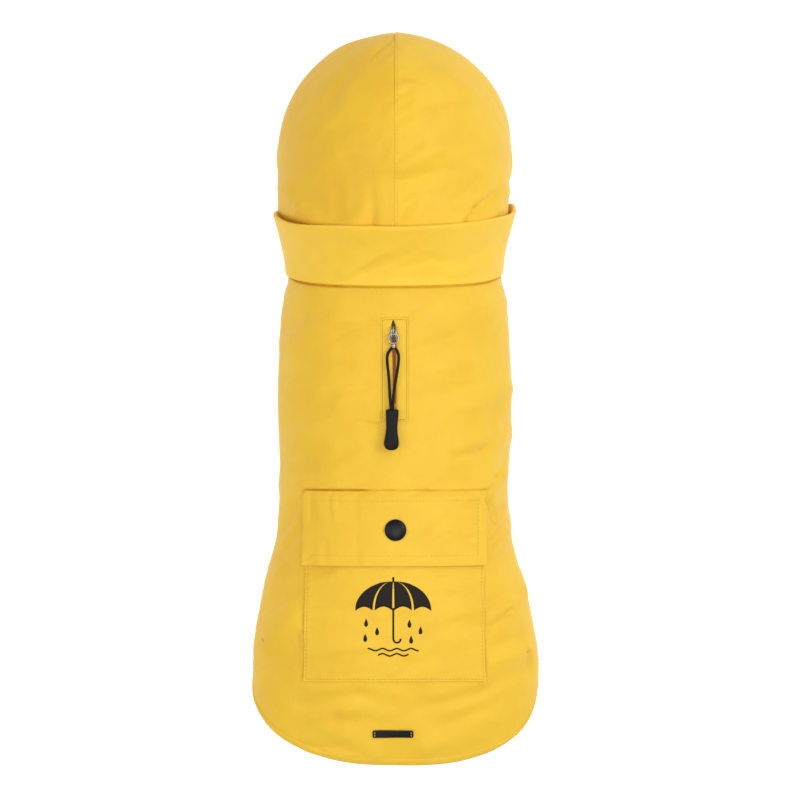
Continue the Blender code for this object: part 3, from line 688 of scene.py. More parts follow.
def makeBackPanel():
    settings = {"step": 1.9, "cut": (0.290, 0.290), "area": 0.0700}
    reach = sideSeam * bodyRound
    edgeAt = window["halfWidth"] / 68.5 / sideSeam
    # finer columns at the window's rim and stitching, the side edges and the ends of the flap
    fineColumns = [(side * centre, half / reach, step / reach) for side in (-1, 1) for centre, half, step in (
        (edgeAt, 0.5, 0.2), (edgeAt + 1.4 / reach, 1.0, 0.35), (1 - 2.4 / reach, 2.4, 0.5))]
    fineColumns += [(side * 0.357, 0.05, 0.7 / reach) for side in (-1, 1)]
    columns = stepped(-1.0, 1.0, settings["step"] / reach, fineColumns)
    top, bottom = edgeYAt(window["top"]), edgeYAt(window["bottom"])
    fineRows = [(top, 0.5, 0.2), (bottom, 0.5, 0.2), (top + 1.4, 1.0, 0.35), (bottom - 1.4, 1.0, 0.35),
                (edgeYAt(flapSize["top"]) + 0.4, 1.8, 0.28), (cornerY + 2.4, 2.4, 0.4), (neckY - 4, 4, 0.45)]
    rows = stepped(cornerY, neckY, settings["step"] * 0.85, fineRows + fineHoleRows)

    def place(across, edgeY):
        angle, y = backPanelPlace(across, edgeY)
        return body(angle, raisedToNeck(angle, y) * mm, 0.0, edgeY * mm)

    edit = gridSheet(columns, rows, place, lambda across, edgeY: bodyUv(*backPanelPlace(across, edgeY)))
    made = addCloth("backPanel", "back_panel", edit, yellowCloth, wallThickness, rimWidth)


def makeChestPanel():
    settings = {"step": 2.1, "cut": (0.128, 0.158), "area": 0.0158, "bow": 18.0}
    fineRows = [(bellyEndY + 2.4, 2.4, 0.6), (neckY - 2, 2, 0.5)]
    rows = stepped(bellyEndY, neckY, settings["step"], fineRows + fineHoleRows)
    columns = stepped(0.0, 1.0, settings["step"] / 140, [(0.02, 0.02, 0.004), (0.98, 0.02, 0.004)])

    def panelPlace(share, edgeY):
        start = sideSeam + legHoleReach(edgeY)
        bow = settings["bow"] * ((neckY - edgeY) / (neckY - bellyEndY)) ** 3
        return start + (2 * pi - 2 * start) * share, edgeY + bow * sin(share * pi) ** 2

    def place(share, edgeY):
        angle, y = panelPlace(share, edgeY)
        toHem = edgeY - bellyEndY
        relief = turnedEdge(toHem, hem["stitch"]) - 0.5 * bell(toHem, 0.7)
        relief -= 0.8 * eased((2.6 - toHem) / 2.6) ** 2
        return body(angle, raisedToNeck(angle, y) * mm, relief * mm)

    edit = gridSheet(columns, rows, place, lambda share, edgeY: bodyUv(*panelPlace(share, edgeY)))
    made = addCloth("chestPanel", "chest_panel", edit, yellowCloth, wallThickness, rimWidth)


fineHoleRows = [(legHole["y"] + side * (legHole["halfLength"] - 2), 2.4, 0.5) for side in (-1, 1)]
makeBackPanel()
makeChestPanel()
print("body panels made")

# Collar: sizes in mm

collarSize = {"y": 71.3, "centreZ": -58.0, "halfWidth": 63.5, "halfHeight": 62.0, "flare": 7.9,
              "rise": 11.0, "rollGap": 0.8, "edgeGap": 1.0, "cut": (0.430, 0.078)}
collarFolds = (  # on its upper side, by x and y
    (-35.7, 78, -20.7, 93, 3.4, -0.7), (-17.7, 77, 10.5, 90, 3.6, -0.45), (3.3, 80.4, 21.3, 85.2, 3.4, -0.4),
    (21.3, 85.2, 40.5, 82.8, 3.4, -0.35), (-29, 76, -6, 90, 3.4, 0.7), (33, 76, 57, 84, 4.4, 0.5),
    (-57, 82, -45, 93, 3.6, -0.6), (-50, 80, -38, 90, 3.4, 0.5), (46, 88, 62, 96, 4, -0.5),
)


def collarFoldY(angle):  # the fold leans back round the neck, sags on the left and peaks low on the right
    drop = wayUnder(angle)
    fold = 102.2 + 28.2 * drop - 15.6 * drop * drop
    return fold - 3.4 * bell(angle + radians(58), radians(26)) + 4.0 * bell(angle - radians(101), radians(13))


def collarGirth(climb):  # centre height, half width and half height of the ring, in mm
    flare = collarSize["flare"] * climb ** 1.5
    return (collarSize["centreZ"] + collarSize["rise"] * climb ** 1.3,
            collarSize["halfWidth"] + flare, collarSize["halfHeight"] + flare)


def collarForm(angle, rise):
    middle, halfWidth, halfHeight = collarGirth(max(rise, 0.0))
    base = collarSize["y"] + neckLift(angle)
    return Vector((halfWidth * sin(angle), base + rise * (collarFoldY(angle) - base),
                   middle + halfHeight * cos(angle))) * mm


# Hood

hoodRibs = (  # turn, seam y and z, chin y and z, half width
    (0.0, 71.6, 2.2, 72.2, -117.6, 61.9), (0.1, 85.0, 6.0, 75.5, -116.8, 62.0),
    (0.2, 103.0, 12.5, 79.5, -115.8, 63.0), (0.3, 126.0, 20.0, 84.0, -114.8, 65.8),
    (0.4, 150.0, 24.0, 89.0, -113.8, 69.0), (0.5, 175.0, 19.5, 94.0, -112.8, 70.6),
    (0.6, 197.0, 6.5, 98.5, -111.8, 70.6), (0.7, 211.5, -11.5, 102.5, -110.8, 69.2),
    (0.8, 218.8, -30.0, 106.0, -109.8, 67.0), (0.9, 218.5, -45.0, 109.0, -109.2, 64.5),
    (1.0, 213.0, -57.0, 111.0, -108.8, 61.5),
)
hoodFolds = (
    (4, 149, 24, 157, 6, 0.9), (32, 110, 55, 131, 6, 1.2), (38, 104, 66, 126, 5, 1.0),
    (-26, 106, -12, 124, 6, 0.9), (-60, 128, -40, 146, 8, 0.8),
)
hoodCreases = (
    (-1, 215, -12, 207, 1.8, -0.9), (-2, 210, -10, 203, 2, -0.7), (-2, 212.5, -12, 203, 1.6, 0.6),
    (1, 214, 6, 209, 2, 0.5), (1, 192, 10.5, 191.5, 2.2, -0.55), (2, 185, 10.5, 189.6, 2.4, 0.6),
    (1.5, 181, 9, 185, 1.8, -0.7), (1.5, 174, 8, 178, 2.4, -0.6), (1.5, 166, 7, 169, 2.2, -0.6),
    (2, 145, 15, 154, 3.6, -1.2), (15, 154, 39, 157, 3.8, -0.8), (4.5, 139, 27, 150, 4.5, 0.9),
    (3, 129, 21, 134.5, 3.6, -0.9), (21, 134.5, 34.5, 137, 3.6, -0.7), (6, 124, 26, 128, 4, 0.5),
    (2, 110.4, 10.5, 120, 3, -1.0), (8, 108, 18, 118, 3.4, 0.7), (38.7, 106.8, 45.3, 115, 2.2, -1.5),
    (45.3, 115, 58.5, 123, 2.4, -1.3), (45, 107, 60.3, 117, 3.6, 0.9), (34.5, 117, 50, 131, 3.4, -1.3),
    (50, 131, 57, 144, 4.4, -0.8), (36.5, 112, 54.5, 127, 3.4, 0.9), (-65, 127, -53.7, 117, 4, 1.3),
    (-53.7, 117, -43.5, 110.4, 3.4, 1.0), (-57, 127, -42, 115, 4.4, -0.4), (-25.5, 119, -22, 107, 4, 0.65),
    (-33, 122, -31, 107, 4, -0.4), (-13.5, 122, -12.3, 105, 3, -0.5), (-6.3, 119, -6.3, 107, 3, 0.4),
    (-39, 183, -27, 198, 4.4, -0.7), (-44, 166, -30, 178, 5, 0.6), (-48, 150, -34, 160, 4.6, -0.6),
    (-9, 172, -3, 178, 2.6, -0.4), (-10, 136, -3, 142, 2.8, 0.5), (-26, 140, -10, 148, 5, -0.5),
    (18, 176, 40, 182, 5, -0.6), (30, 196, 48, 186, 5, 0.5), (46, 150, 64, 156, 5, 0.5),
)
hoodSideCreases = (  # by the distance round and the turn as mm of length
    (80, 40, 118, 30, 6, 0.9), (86, 78, 126, 84, 7, -0.8), (92, 120, 128, 112, 6, 0.8),
    (98, 150, 130, 160, 6, -0.7), (130, 60, 158, 48, 6, 0.8), (134, 100, 160, 118, 6, -0.7),
)
hoodEnd = radians(158)
hoodLength = 196  # mm of cloth from the neck seam to the face edge
faceLength = 150
hoodHem = {"stitch": 9.0}


def hoodForm(angle, turn):
    share = (1 + cos(angle)) / 2
    seamY, seamZ, chinY, chinZ, halfWidth = (between(hoodRibs, turn, column) * mm for column in range(1, 6))
    return Vector((halfWidth * sin(angle), chinY + (seamY - chinY) * share, chinZ + (seamZ - chinZ) * share))


def faceShare(angle):  # how much of the face length the cloth has here, least at the chin
    return 0.35 + 0.65 * (1 + cos(angle)) / 2


def seamRidge(x, side):  # the halves fall away from the centre seam, the left one more
    if side < 0:
        return 2.7 * (bell(x, 25) - 1)
    return 0.55 * (bell(x, 15) - 1)


def hoodBulge(point, angle, side):  # the cloth swells out against the inside of the collar's fold
    x, y, z = point / mm
    foldY = collarFoldY(side * angle)
    if not foldY - 26 < y < foldY + 42:
        return 0.0
    middle, halfWidth, halfHeight = collarGirth(min((y - collarSize["y"]) / (foldY - collarSize["y"]), 1.0))
    room = (1 - hypot(x / halfWidth, (z - middle) / halfHeight)) * neckRound - 1.5 - seamRidge(x, side)
    # crevices behind the fold
    room -= 4.2 * bell(x + 56, 14) * bell(y - foldY, 3.4) + 1.6 * bell(x + 12.6, 2.6) + 0.6 * bell(x + 24, 3)
    near = eased((y - foldY + 26) / 24) if y < foldY else eased((foldY + 42 - y) / 40)
    return max(room, 0.0) * near


def hoodRelief(point, normal, angle, turn, side):
    x, y = point.x / mm, point.y / mm
    top = seenFromAbove(angle)
    inner = eased(normal.z * 2.4)
    fade = eased(turn * 8)
    length = turn * hoodLength
    around = abs(angle) * neckRound
    height = (foldHeight(hoodFolds, x, y) * top + foldHeight(hoodCreases, x, y) * inner) * fade
    if top < 1:
        height += foldHeight(hoodSideCreases, around + side * 7, length) * (1 - top) * fade
    swell = Vector((x / 31, length / 27, 4.0 + side * 0.2 + cos(angle)))
    height += (0.5 * noise.noise(swell) + 0.16 * noise.noise(swell * 3.2)) * fade
    height += wrinkle(x, length, 3.1 + cos(angle), 0.35) * fade * (0.35 + 0.65 * inner)
    # centre seam, its allowance turned to the right and stitched down
    toSeam = abs(x)
    height += seamRidge(x, side) - 0.45 * bell(toSeam, 0.45)
    height += 1.1 * bell(x, 34) * bell(turn - 0.84, 0.12)
    # fuller at the left side, slimmer at the right
    flank = eased(1 - abs(normal.z) * 2) * eased((toSeam - 12) / 24)
    fullness, cheek = (1.5, 0.9) if side < 0 else (-1.0, 2.0)
    height += flank * (fullness + cheek * bell(turn - 0.72, 0.16)) * fade
    if side > 0:
        height += 0.25 * eased((2.9 - toSeam) / 0.8) - 0.24 * bell(toSeam - 1.6, 0.4)
    height += 0.4 * ripple((toSeam * 0.35, length), 3.8, 1.7) * bell(toSeam - 2, 5)
    height += hoodBulge(point, angle, side)
    # face edge, turned and stitched, and neck seam
    toEdge = (1 - turn) * faceShare(angle) * faceLength
    height += 0.3 * eased((hoodHem["stitch"] + 0.6 - toEdge) / 1.0)
    height -= 0.26 * bell(toEdge - hoodHem["stitch"], 0.6) + 0.9 * eased((1.6 - toEdge) / 1.6) ** 2
    height += 0.35 * ripple((around, toEdge * 0.25), 5.0, 9.1) * bell(toEdge - hoodHem["stitch"], 7)
    return height - 0.7 * bell(length, 2.0)


def hood(angle, turn, side):
    point = hoodForm(side * angle, turn)
    normal = normalOf(hoodForm, side * angle, turn)
    return point + normal * (hoodRelief(point, normal, angle, turn, side) * mm)


def makeHoodHalf(name, node, side, finish):
    settings = {"step": 1.7, "cut": (0.205, 0.175), "area": 0.0268}
    angles = stepped(0.0, hoodEnd, settings["step"] / neckRound, [(0.025, 0.025, 0.006)])
    turns = stepped(0.0, 1.0, settings["step"] / 190, [(0.985, 0.015, 0.0035), (0.01, 0.01, 0.004)])
    columns = angles if side > 0 else [-angle for angle in reversed(angles)]

    def place(angle, turn):
        point = hood(abs(angle), turn, side)
        if angle == 0:
            point.x = 0.0
        return point

    edit = gridSheet(columns, turns, place, lambda a, t: (a * neckRound * mm, t * hoodLength * mm))
    made = addCloth(name, node, edit, finish, wallThickness, rimWidth)


makeHoodHalf("hoodLeft", "hood_left", -1, hoodLeftShadedCloth)
makeHoodHalf("hoodRight", "hood_right", 1, yellowCloth)
print("hood made")


def makeCollar():
    fallEnd, rollEnd, fallLength = 0.47, 0.55, 33
    wall = wallThickness / mm
    gaps = collarSize["edgeGap"], collarSize["rollGap"]

    def onForm(angle, rise, lift):
        return collarForm(angle, rise) + normalOf(collarForm, angle, rise) * lift * mm

    def place(angle, share):
        swell = Vector((cos(angle) * 2.1, sin(angle) * 2.1, share * 2.4 + 9.0))
        soft = 0.55 * noise.noise(swell) + 0.2 * noise.noise(swell * 3.4)
        if share < fallEnd:  # the fall, from its free edge up to the fold
            part = share / fallEnd
            base = collarSize["y"] + neckLift(angle)
            edge = (collarEdgeY(angle) - base) / (collarFoldY(angle) - base)
            rise = edge + (0.98 - edge) * part
            lift = gaps[0] + (gaps[1] - gaps[0]) * max(rise, 0.0) + wall
            lift += 0.8 * (1 - part) * bell(angle + radians(62), radians(26))
            bias = sin(9 * angle - 8 * share + 2.2 * noise.noise(swell * 0.7 + Vector((0.0, 0.0, 5.0))))
            lift += soft * eased(part * 3) * eased((1 - part) * 5)
            lift += 0.1 * bias * eased(part * 4) * eased((1 - part) * 4)
            if cos(angle) > 0:
                spot = collarForm(angle, rise) / mm
                lift += foldHeight(collarFolds, spot.x, spot.y) * eased(part * 5) * eased((1 - part) * 5)
            return onForm(angle, rise, lift - 0.12 * eased((1.2 - part * fallLength) / 1.2) ** 2)
        if share < rollEnd:  # the fold
            turn = pi * (1 - (share - fallEnd) / (rollEnd - fallEnd))
            out = normalOf(collarForm, angle, 1.0)
            ahead = (collarForm(angle, 1.0) - collarForm(angle, 0.99)).normalized()
            radius = (gaps[1] / 2 + wall) * mm
            centre = collarForm(angle, 1.0) + out * gaps[1] / 2 * mm
            return centre - out * radius * cos(turn) + ahead * radius * sin(turn)
        part = (share - rollEnd) / (1 - rollEnd)  # the stand, down to the neck seam
        lift = min(0.0, 0.4 * soft) * eased(part * 4) * eased((1 - part) * 4) - wall
        return onForm(angle, 0.98 * (1 - part), lift)

    edit = gridSheet(spread(-pi, pi, 330), spread(0.0, 1.0, 60), place,
                     lambda angle, share: (angle * neckRound * mm, share * collarSize["cut"][1]))
    bmesh.ops.remove_doubles(edit, verts=edit.verts[:], dist=mergeDistance)
    made = addCloth("foldOverCollar", "collar", edit, collarLitCloth, wallThickness, rimWidth)


makeCollar()
print("collar made")

# Pocket and flap

pocketCreases = (
    (-52, -104, -38, -101, 3.2, -0.4), (-50, -110, -34, -104, 3.5, 0.5), (26, -102, 46, -106, 4, -0.6),
    (34, -116, 52, -113, 4, -0.5), (34, -127, 52, -124, 4, 0.45), (32, -136, 52, -134, 4, -0.4),
    (-48, -150, -20, -146, 5, 0.35), (8, -156, 40, -152, 5, -0.3),
)


def pocketFace(x, y):  # height of the pocket's face over the back, in mm
    side = pocketHalf(y) - abs(x)
    foot = y - pocketSize["bottom"]
    distance = min(side, foot)
    along = y if side < foot else x
    clear = eased((flapSize["bottom"] + 2 - y) / 12)  # 0 where the flap covers it
    swell = Vector((x / 24, y / 20, 12.0))
    loose = 0.6 * (1 - bell(max(distance - 2.4, 0.0), 14)) + 0.7 * wrinkle(x, y, 9.3, 0.12)
    loose += 0.2 * ripple((along, distance * 0.4), 3.4, 4.4) * bell(distance - 3.5, 3.5)
    loose += (0.4 * noise.noise(swell) + 0.14 * noise.noise(swell * 3)) * eased(distance / 6)
    loose -= 0.5 * bell(x + 44, 9) * bell(y + 102, 8)
    stitching = 0.1 * bell(distance, 0.3) + 0.34 * bell(distance - pocketSize["stitch"], 0.4)
    return (1.1 + 0.3 * eased((3 - side) / 3) + besideDip(x, y) - stitching
            + loose * clear + foldHeight(pocketCreases, x, y))


flapCreases = (
    (-48, -58, -48, -72, 1.7, -0.5), (-43.5, -58, -43, -70, 1.6, 0.4), (-37, -56, -37, -69, 1.5, -0.6),
    (-32.5, -57, -32, -63, 1.5, -0.55), (-35, -58, -34, -72, 1.5, 0.4),
    (-21.3, -56, -21.3, -97, 0.9, -0.35), (-23.4, -58, -23.2, -68, 1.4, -0.35),
    (-43.5, -88, -43, -98, 1.8, 0.6), (-39.5, -86, -39.5, -97, 1.6, -0.4),
    (-17, -91, -17, -98, 1.8, 0.5), (26, -68, 40, -80, 7, 0.3), (-12, -92, -4, -86, 4, 0.3),
    (14, -90, 26, -94, 5, -0.25), (36, -57, 38, -66, 2.4, -0.3), (2, -56, 3, -64, 2.0, -0.25),
)
snap = {"x": 0.6, "y": -77.6, "radius": 6.5, "height": 2.5}


def flapFace(x, y):
    side = flapHalf(y) - abs(x)
    head, foot = flapSize["top"] - y, y - flapSize["bottom"]
    distance = min(side, head, foot)
    toStitch = min(side + (flapSize["rightShift"] if x > 0 else 0.0), head, foot) - flapSize["inset"]
    along = y if side < min(head, foot) else x
    height = 1.5 + 1.45 * eased(head / 5) + 0.35 * eased((12 - foot) / 12) + 0.7 * eased((4.5 - side) / 4.5)
    height += besideDip(x, y) + foldHeight(flapCreases, x, y)
    height += 0.5 * wrinkle(x, y, 5.9, 0.1) * eased(distance / 5)
    height += 0.1 * bell(distance - 3, 2.4) - 0.1 * bell(distance, 0.3) - 0.34 * bell(toStitch, 0.55)
    height += 0.2 * ripple((along, distance * 0.4), 4.0, 7.7) * bell(distance - flapSize["inset"], 4)
    height -= 0.4 * bell(hypot(x - snap["x"], y - snap["y"]), 8.5)
    height += 0.25 * (noise.noise(Vector((x / 22, y / 18, 15.0))) + 0.3) * eased(distance / 6)
    # both lower corners stand off, the left one more
    height += 1.1 * eased((-x - 24) / 24) * eased((-84 - y) / 15)
    return height + 0.5 * eased((x - 36) / 18) * eased((-88 - y) / 11)


def overPocket(x, y, lift=0.0):
    return overBack(x, y, pocketFace(x, y) + lift)


def overFlap(x, y):
    return overBack(x, y, flapFace(x, y))


def layOnBack(name, node, half, size, surface, thickness, step, fine):
    ends = size["bottom"] + fine, size["top"] - fine
    ys = stepped(size["bottom"], size["top"], step, [(end, fine, 0.4) for end in ends])
    wide = half(size["top"])
    shares = stepped(-1.0, 1.0, step / wide,
                     [(end * (1 - fine / wide), fine / wide, 0.4 / wide) for end in (-1, 1)])
    edit = gridSheet(shares, ys, lambda share, y: surface(share * half(y), y),
                     lambda share, y: (share * half(y) * mm, y * mm))
    made = addCloth(name, node, edit, yellowCloth, thickness * mm, 0.25 * mm)


layOnBack("patchPocket", "pocket", pocketHalf, pocketSize, overPocket, 0.8, 1.5, 2.6)
layOnBack("pocketFlap", "pocket_flap", flapHalf, flapSize, overFlap, 1.1, 1.3, 2.4)
print("pocket made")


def makeSnap():
    # A pressed cap: a circle stepped in and up, then smoothed by its own rings
    base = overFlap(snap["x"], snap["y"]).z / mm
    profile = ((0.92, 0.0), (0.97, 0.06), (1.0, 0.18), (1.0, 0.3), (0.985, 0.4), (0.94, 0.52), (0.87, 0.64),
               (0.78, 0.75), (0.67, 0.84), (0.54, 0.91), (0.4, 0.96), (0.25, 0.99), (0.1, 1.0))
    edit = bmesh.new()
    bmesh.ops.create_circle(edit, cap_ends=True, segments=72, radius=profile[0][0] * snap["radius"] * mm)
    face = edit.faces[:][0]
    for (before, low), (radius, high) in zip(profile, profile[1:]):
        face = bmesh.ops.extrude_discrete_faces(edit, faces=[face])["faces"][0]
        bmesh.ops.scale(edit, vec=(radius / before, radius / before, 1), verts=face.verts[:])
        bmesh.ops.translate(edit, vec=(0, 0, (high - low) * snap["height"] * mm), verts=face.verts[:])
    bmesh.ops.translate(edit, vec=(snap["x"] * mm, snap["y"] * mm, (base + 0.05) * mm), verts=edit.verts[:])
    bmesh.ops.recalc_face_normals(edit, faces=edit.faces[:])
    addObject("snapCap", edit, blackPaint, "coat", "snap_cap")


makeSnap()

# Leash opening: lips, tape, coil, slider

slit = (  # y, middle, half width: it gapes to a point above the slider
    (-12, 0.25, 0.2), (-6, 0.2, 0.7), (8, 0.05, 0.85), (30, -0.15, 1.15), (40, -0.45, 1.3),
    (44.2, -0.65, 1.25), (46.5, -0.75, 0.62), (48, -0.8, 0.12),
)
zipX = -0.5


def slitMiddle(y):
    return between(slit, y, 1)


def slitHalf(y):
    return between(slit, y, 2)


def overWindow(x, y, lift):  # lift over the back as it would be without the recess
    return overBack(x, y, lift - windowRelief(x, y))


def makeWelt(name, node, side):
    play, corner = 0.1, window["corner"]
    ys = stepped(window["bottom"] + play, window["top"] - play, 1.2,
                 [(window["bottom"] + 1.2, 1.0, 0.3), (window["top"] - 1.2, 1.0, 0.3)])

    def place(share, y):
        toEnd = min(y - window["bottom"], window["top"] - y) - play
        cutIn = corner - sqrt(max(corner ** 2 - max(corner - toEnd, 0.0) ** 2, 0.0))
        outer = side * (window["halfWidth"] - play - cutIn)
        low, high = sorted((slitMiddle(y) + side * slitHalf(y), outer))
        x = low + (high - low) * share
        fromSlit = abs(x - slitMiddle(y)) - slitHalf(y)
        lift = 0.16 + 0.2 * bell(fromSlit - 2.2, 2.0) - 0.3 * bell(fromSlit, 0.5)
        return overWindow(x, y, lift + 0.12 * ripple((x, y), 6.0, 11.0 + side) * eased(fromSlit))

    edit = gridSheet(spread(0.0, 1.0, 12), ys, place, lambda share, y: (share * 6.5 * mm, y * mm))
    made = addCloth(name, node, edit, yellowCloth, 0.4 * mm, 0.12 * mm)


def makeTape():
    def place(share, y):
        return overWindow(slitMiddle(y) + share * (slitHalf(y) + 0.35), y, -0.45)

    edit = gridSheet(spread(-1.0, 1.0, 7), stepped(-2.0, 47.4, 1.0), place,
                     lambda share, y: (share * 1.5 * mm, y * mm))
    made = addCloth("zipTape", "zip_tape", edit, orangeTape, 0.25 * mm, 0.05 * mm)


def makeCoil():  # one bead for each tooth, the two rows half a pitch apart
    coil = {"teeth": 44, "top": 35.0, "pitch": 0.82}
    runs = []
    for side in (-1, 1):
        for index in range(coil["teeth"]):
            y = coil["top"] - index * coil["pitch"] - (coil["pitch"] / 2 if side > 0 else 0.0)
            half = min(0.5, slitHalf(y) * 0.7)
            start = overWindow(slitMiddle(y) + side * 0.02, y, -0.35)
            end = overWindow(slitMiddle(y) + side * half * 1.6, y - 0.1, -0.4)
            up = overBackNormal(0.0, y)
            runs.append([(start, up), (end, up)])
    tooth = {"pitch": 3.0 * mm, "share": 0.36, "gauge": 0.5 * mm, "proud": 0.1}
    makeStitches("zipCoil", runs, tooth, orangeCoil)


makeWelt("zipLipLeft", "zip_welt_left", -1)
makeWelt("zipLipRight", "zip_welt_right", 1)
makeTape()
makeCoil()

hinge = {"y": 39.2, "lift": 3.25}
groundZ = bodyForm(0.0, hinge["y"] * mm).z / mm + foldHeight(bodyFolds, zipX, hinge["y"])


def makeSlider():
    # Lower body in the slit, top plate with its rolled rim, and the crown that holds the ring
    size = {"front": 44.0, "back": 35.4, "railFoot": 2.2, "railTop": 4.55}
    edit = bmesh.new()
    middle = (size["front"] + size["back"]) / 2
    halfLength = (size["front"] - size["back"]) / 2
    layers = ((1.15, 0.90, -0.55), (1.35, 0.94, 0.3), (1.5, 0.96, 0.75), (1.82, 0.99, 0.95), (1.9, 1.0, 1.3),
              (1.9, 1.0, 1.85), (1.78, 0.985, 2.2), (1.5, 0.94, 2.3), (1.1, 0.85, 2.15))
    bmesh.ops.create_circle(edit, cap_ends=True, segments=48, radius=1.0)
    face = edit.faces[:][0]

    def shape(verts, wide, long, height):
        for vert in verts:
            turn = Vector((vert.co.x, vert.co.y)).normalized()
            boxed = max(abs(turn.x) ** 4 + abs(turn.y) ** 4, 1e-9) ** -0.25
            taper = 0.94 + 0.06 * turn.y * boxed
            vert.co = Vector((turn.x * boxed * wide * taper, turn.y * boxed * halfLength * long, height))

    shape(face.verts, *layers[0])
    for layer in layers[1:]:
        face = bmesh.ops.extrude_discrete_faces(edit, faces=[face])["faces"][0]
        shape(face.verts, *layer)
    bmesh.ops.scale(edit, vec=(mm, mm, mm), verts=edit.verts[:])
    bmesh.ops.translate(edit, vec=(zipX * mm, middle * mm, groundZ * mm), verts=edit.verts[:])
    bmesh.ops.recalc_face_normals(edit, faces=edit.faces[:])
    # the slider's body takes the darker nickel: painted shade under the bridge
    addObject("zipSlider", edit, shadedNickel, "coat", "zip_slider")

    # the bridge is a long frame, open down its middle, that arches over the plate
    path = []
    for step in range(64):
        turn = 2 * pi * step / 64
        ahead = squared(cos(turn), 0.5)
        height = size["railFoot"] + (size["railTop"] - size["railFoot"]) * (1 - abs(ahead) ** 3.4) ** 0.6
        x = zipX + 1.42 * squared(sin(turn), 0.4)
        path.append(Vector((x, middle + 3.75 * ahead, groundZ + height)) * mm)
    rail = tubeEdit(path, roundSection(0.36 * mm, 0.4 * mm), 14, closed=True)
    addObject("sliderBridge", rail, brightNickel, "coat")


makeSlider()
print("leash opening made")

# Zip pull

ringSize = {"halfWidth": 2.8, "length": 5.3, "wire": 0.58, "squareness": 0.35}
pullLift = 2.75


def makeRing():
    path = []
    for step in range(72):
        turn = 2 * pi * step / 72
        back = ringSize["length"] * (1 - cos(turn)) / 2
        aside = ringSize["halfWidth"] * squared(sin(turn), ringSize["squareness"])
        drop = (hinge["lift"] - pullLift) * back / ringSize["length"]
        path.append(Vector((zipX + aside, hinge["y"] - back, groundZ + hinge["lift"] - drop)) * mm)
    edit = tubeEdit(path, roundSection(ringSize["wire"] * mm), 14, closed=True)
    addObject("pullRing", edit, brightNickel, "zip_pull", "pull_ring")


def makeSleeve():
    start = hinge["y"] - ringSize["length"] - 0.55
    shape = ((0.0, 0.75), (0.15, 1.05), (0.5, 1.15), (0.9, 1.1), (1.3, 1.2), (1.8, 1.28), (2.2, 1.25),
             (2.5, 1.05), (2.6, 0.8))
    path = [Vector((zipX, start - along, groundZ + pullLift)) * mm for along, _ in shape]
    radii = [radius * mm for _, radius in shape]
    edit = tubeEdit(path, lambda turn, row: (radii[row] * cos(turn), radii[row] * sin(turn)), 28)
    addObject("pullSleeve", edit, brightNickel, "zip_pull", "pull_sleeve")


cordRoute = (  # place, x, y, lift
    (0, -2.1, -5.6, 3.6), (1, -2.8, 4.0, 2.7), (2, -3.4, 14.0, 2.5), (3, -4.3, 22.5, 2.5),
    (4, -4.0, 27.2, 2.5), (5, -2.2, 30.2, 2.7), (6, -0.55, 31.3, 2.8), (7, 1.0, 30.2, 2.7),
    (8, 2.4, 26.8, 2.5), (9, 2.3, 21.5, 2.5), (10, 0.9, 12.5, 2.5), (11, -0.55, 3.6, 2.7),
    (12, -0.9, -5.6, 3.6),
)


def smoothBack(x, y):  # height of the back without its finer relief, in mm
    halfWidth = between(bodySections, y, 1)
    return bodyForm(asin(x / halfWidth), y * mm).z / mm + foldHeight(bodyFolds, x, y)


def makeCord():
    path = []
    for place in spread(0.0, cordRoute[-1][0], 145):
        x, y, lift = (between(cordRoute, place, column) for column in (1, 2, 3))
        path.append(Vector((x, y, smoothBack(x, y) + lift)) * mm)
    edit = tubeEdit(path, roundSection(0.86 * mm), 14)
    addObject("pullCord", edit, blackBraid, "zip_pull", "pull_cord")


gripStations = (  # distance from the upper end, half width, half depth
    (0.0, 3.1, 1.3), (0.25, 3.5, 1.65), (0.8, 3.75, 2.05), (4.0, 3.68, 2.05), (8.0, 3.42, 2.0),
    (11.0, 3.3, 1.9), (14.0, 3.5, 1.9), (17.0, 4.0, 2.1), (19.5, 4.35, 2.25), (21.4, 4.3, 2.15),
    (22.8, 3.7, 1.85), (23.7, 2.8, 1.5), (24.2, 1.7, 1.0), (24.35, 0.7, 0.5),
)


def makeGrip():
    grip = {"topX": -1.3, "leanX": -0.6, "topY": -5.6, "lift": 4.0, "squareness": 0.72}
    length = gripStations[-1][0]
    path = []
    sizes = []
    for along in stepped(0.0, length, 0.6, [(0.8, 0.8, 0.2), (23.4, 0.95, 0.12)]):
        x = grip["topX"] + grip["leanX"] * along / length
        path.append(Vector((x, grip["topY"] - along, smoothBack(x, grip["topY"]) + grip["lift"])) * mm)
        sizes.append([between(gripStations, along, column) * mm for column in (1, 2)])

    def section(turn, row):
        wide, deep = sizes[row]
        seam = 0.06 * mm * bell(sin(turn), 0.12)  # parting line of the mould
        return ((wide + seam) * squared(cos(turn), grip["squareness"]),
                deep * squared(sin(turn), grip["squareness"]))

    addObject("pullGrip", tubeEdit(path, section, 44), blackRubber, "zip_pull", "pull_grip")


makeRing()
makeSleeve()
makeCord()
makeGrip()
print("zip pull made")

# Name plate, left plain

plateSize = {"x": -0.9, "y": -199.5, "halfWidth": 12.1, "halfLength": 2.25, "lift": 1.15}


def makePlate():
    def place(share, step):
        x = plateSize["x"] + share * plateSize["halfWidth"]
        corner = bell(1 - abs(share), 0.035)
        y = plateSize["y"] + step * (plateSize["halfLength"] - 0.45 * corner)
        worn = 0.3 * eased((abs(step) - 0.75) / 0.25) ** 2 + 0.3 * bell(1 - abs(share), 0.02)
        return overBack(x, y, plateSize["lift"] - worn)

    edit = gridSheet(spread(-1.0, 1.0, 61), spread(-1.0, 1.0, 13), place,
                     lambda share, step: (share * 12 * mm, step * 2 * mm))
    addCloth("namePlate", "name_plate", edit, blackPlastic, 0.8 * mm, 0.12 * mm)


makePlate()

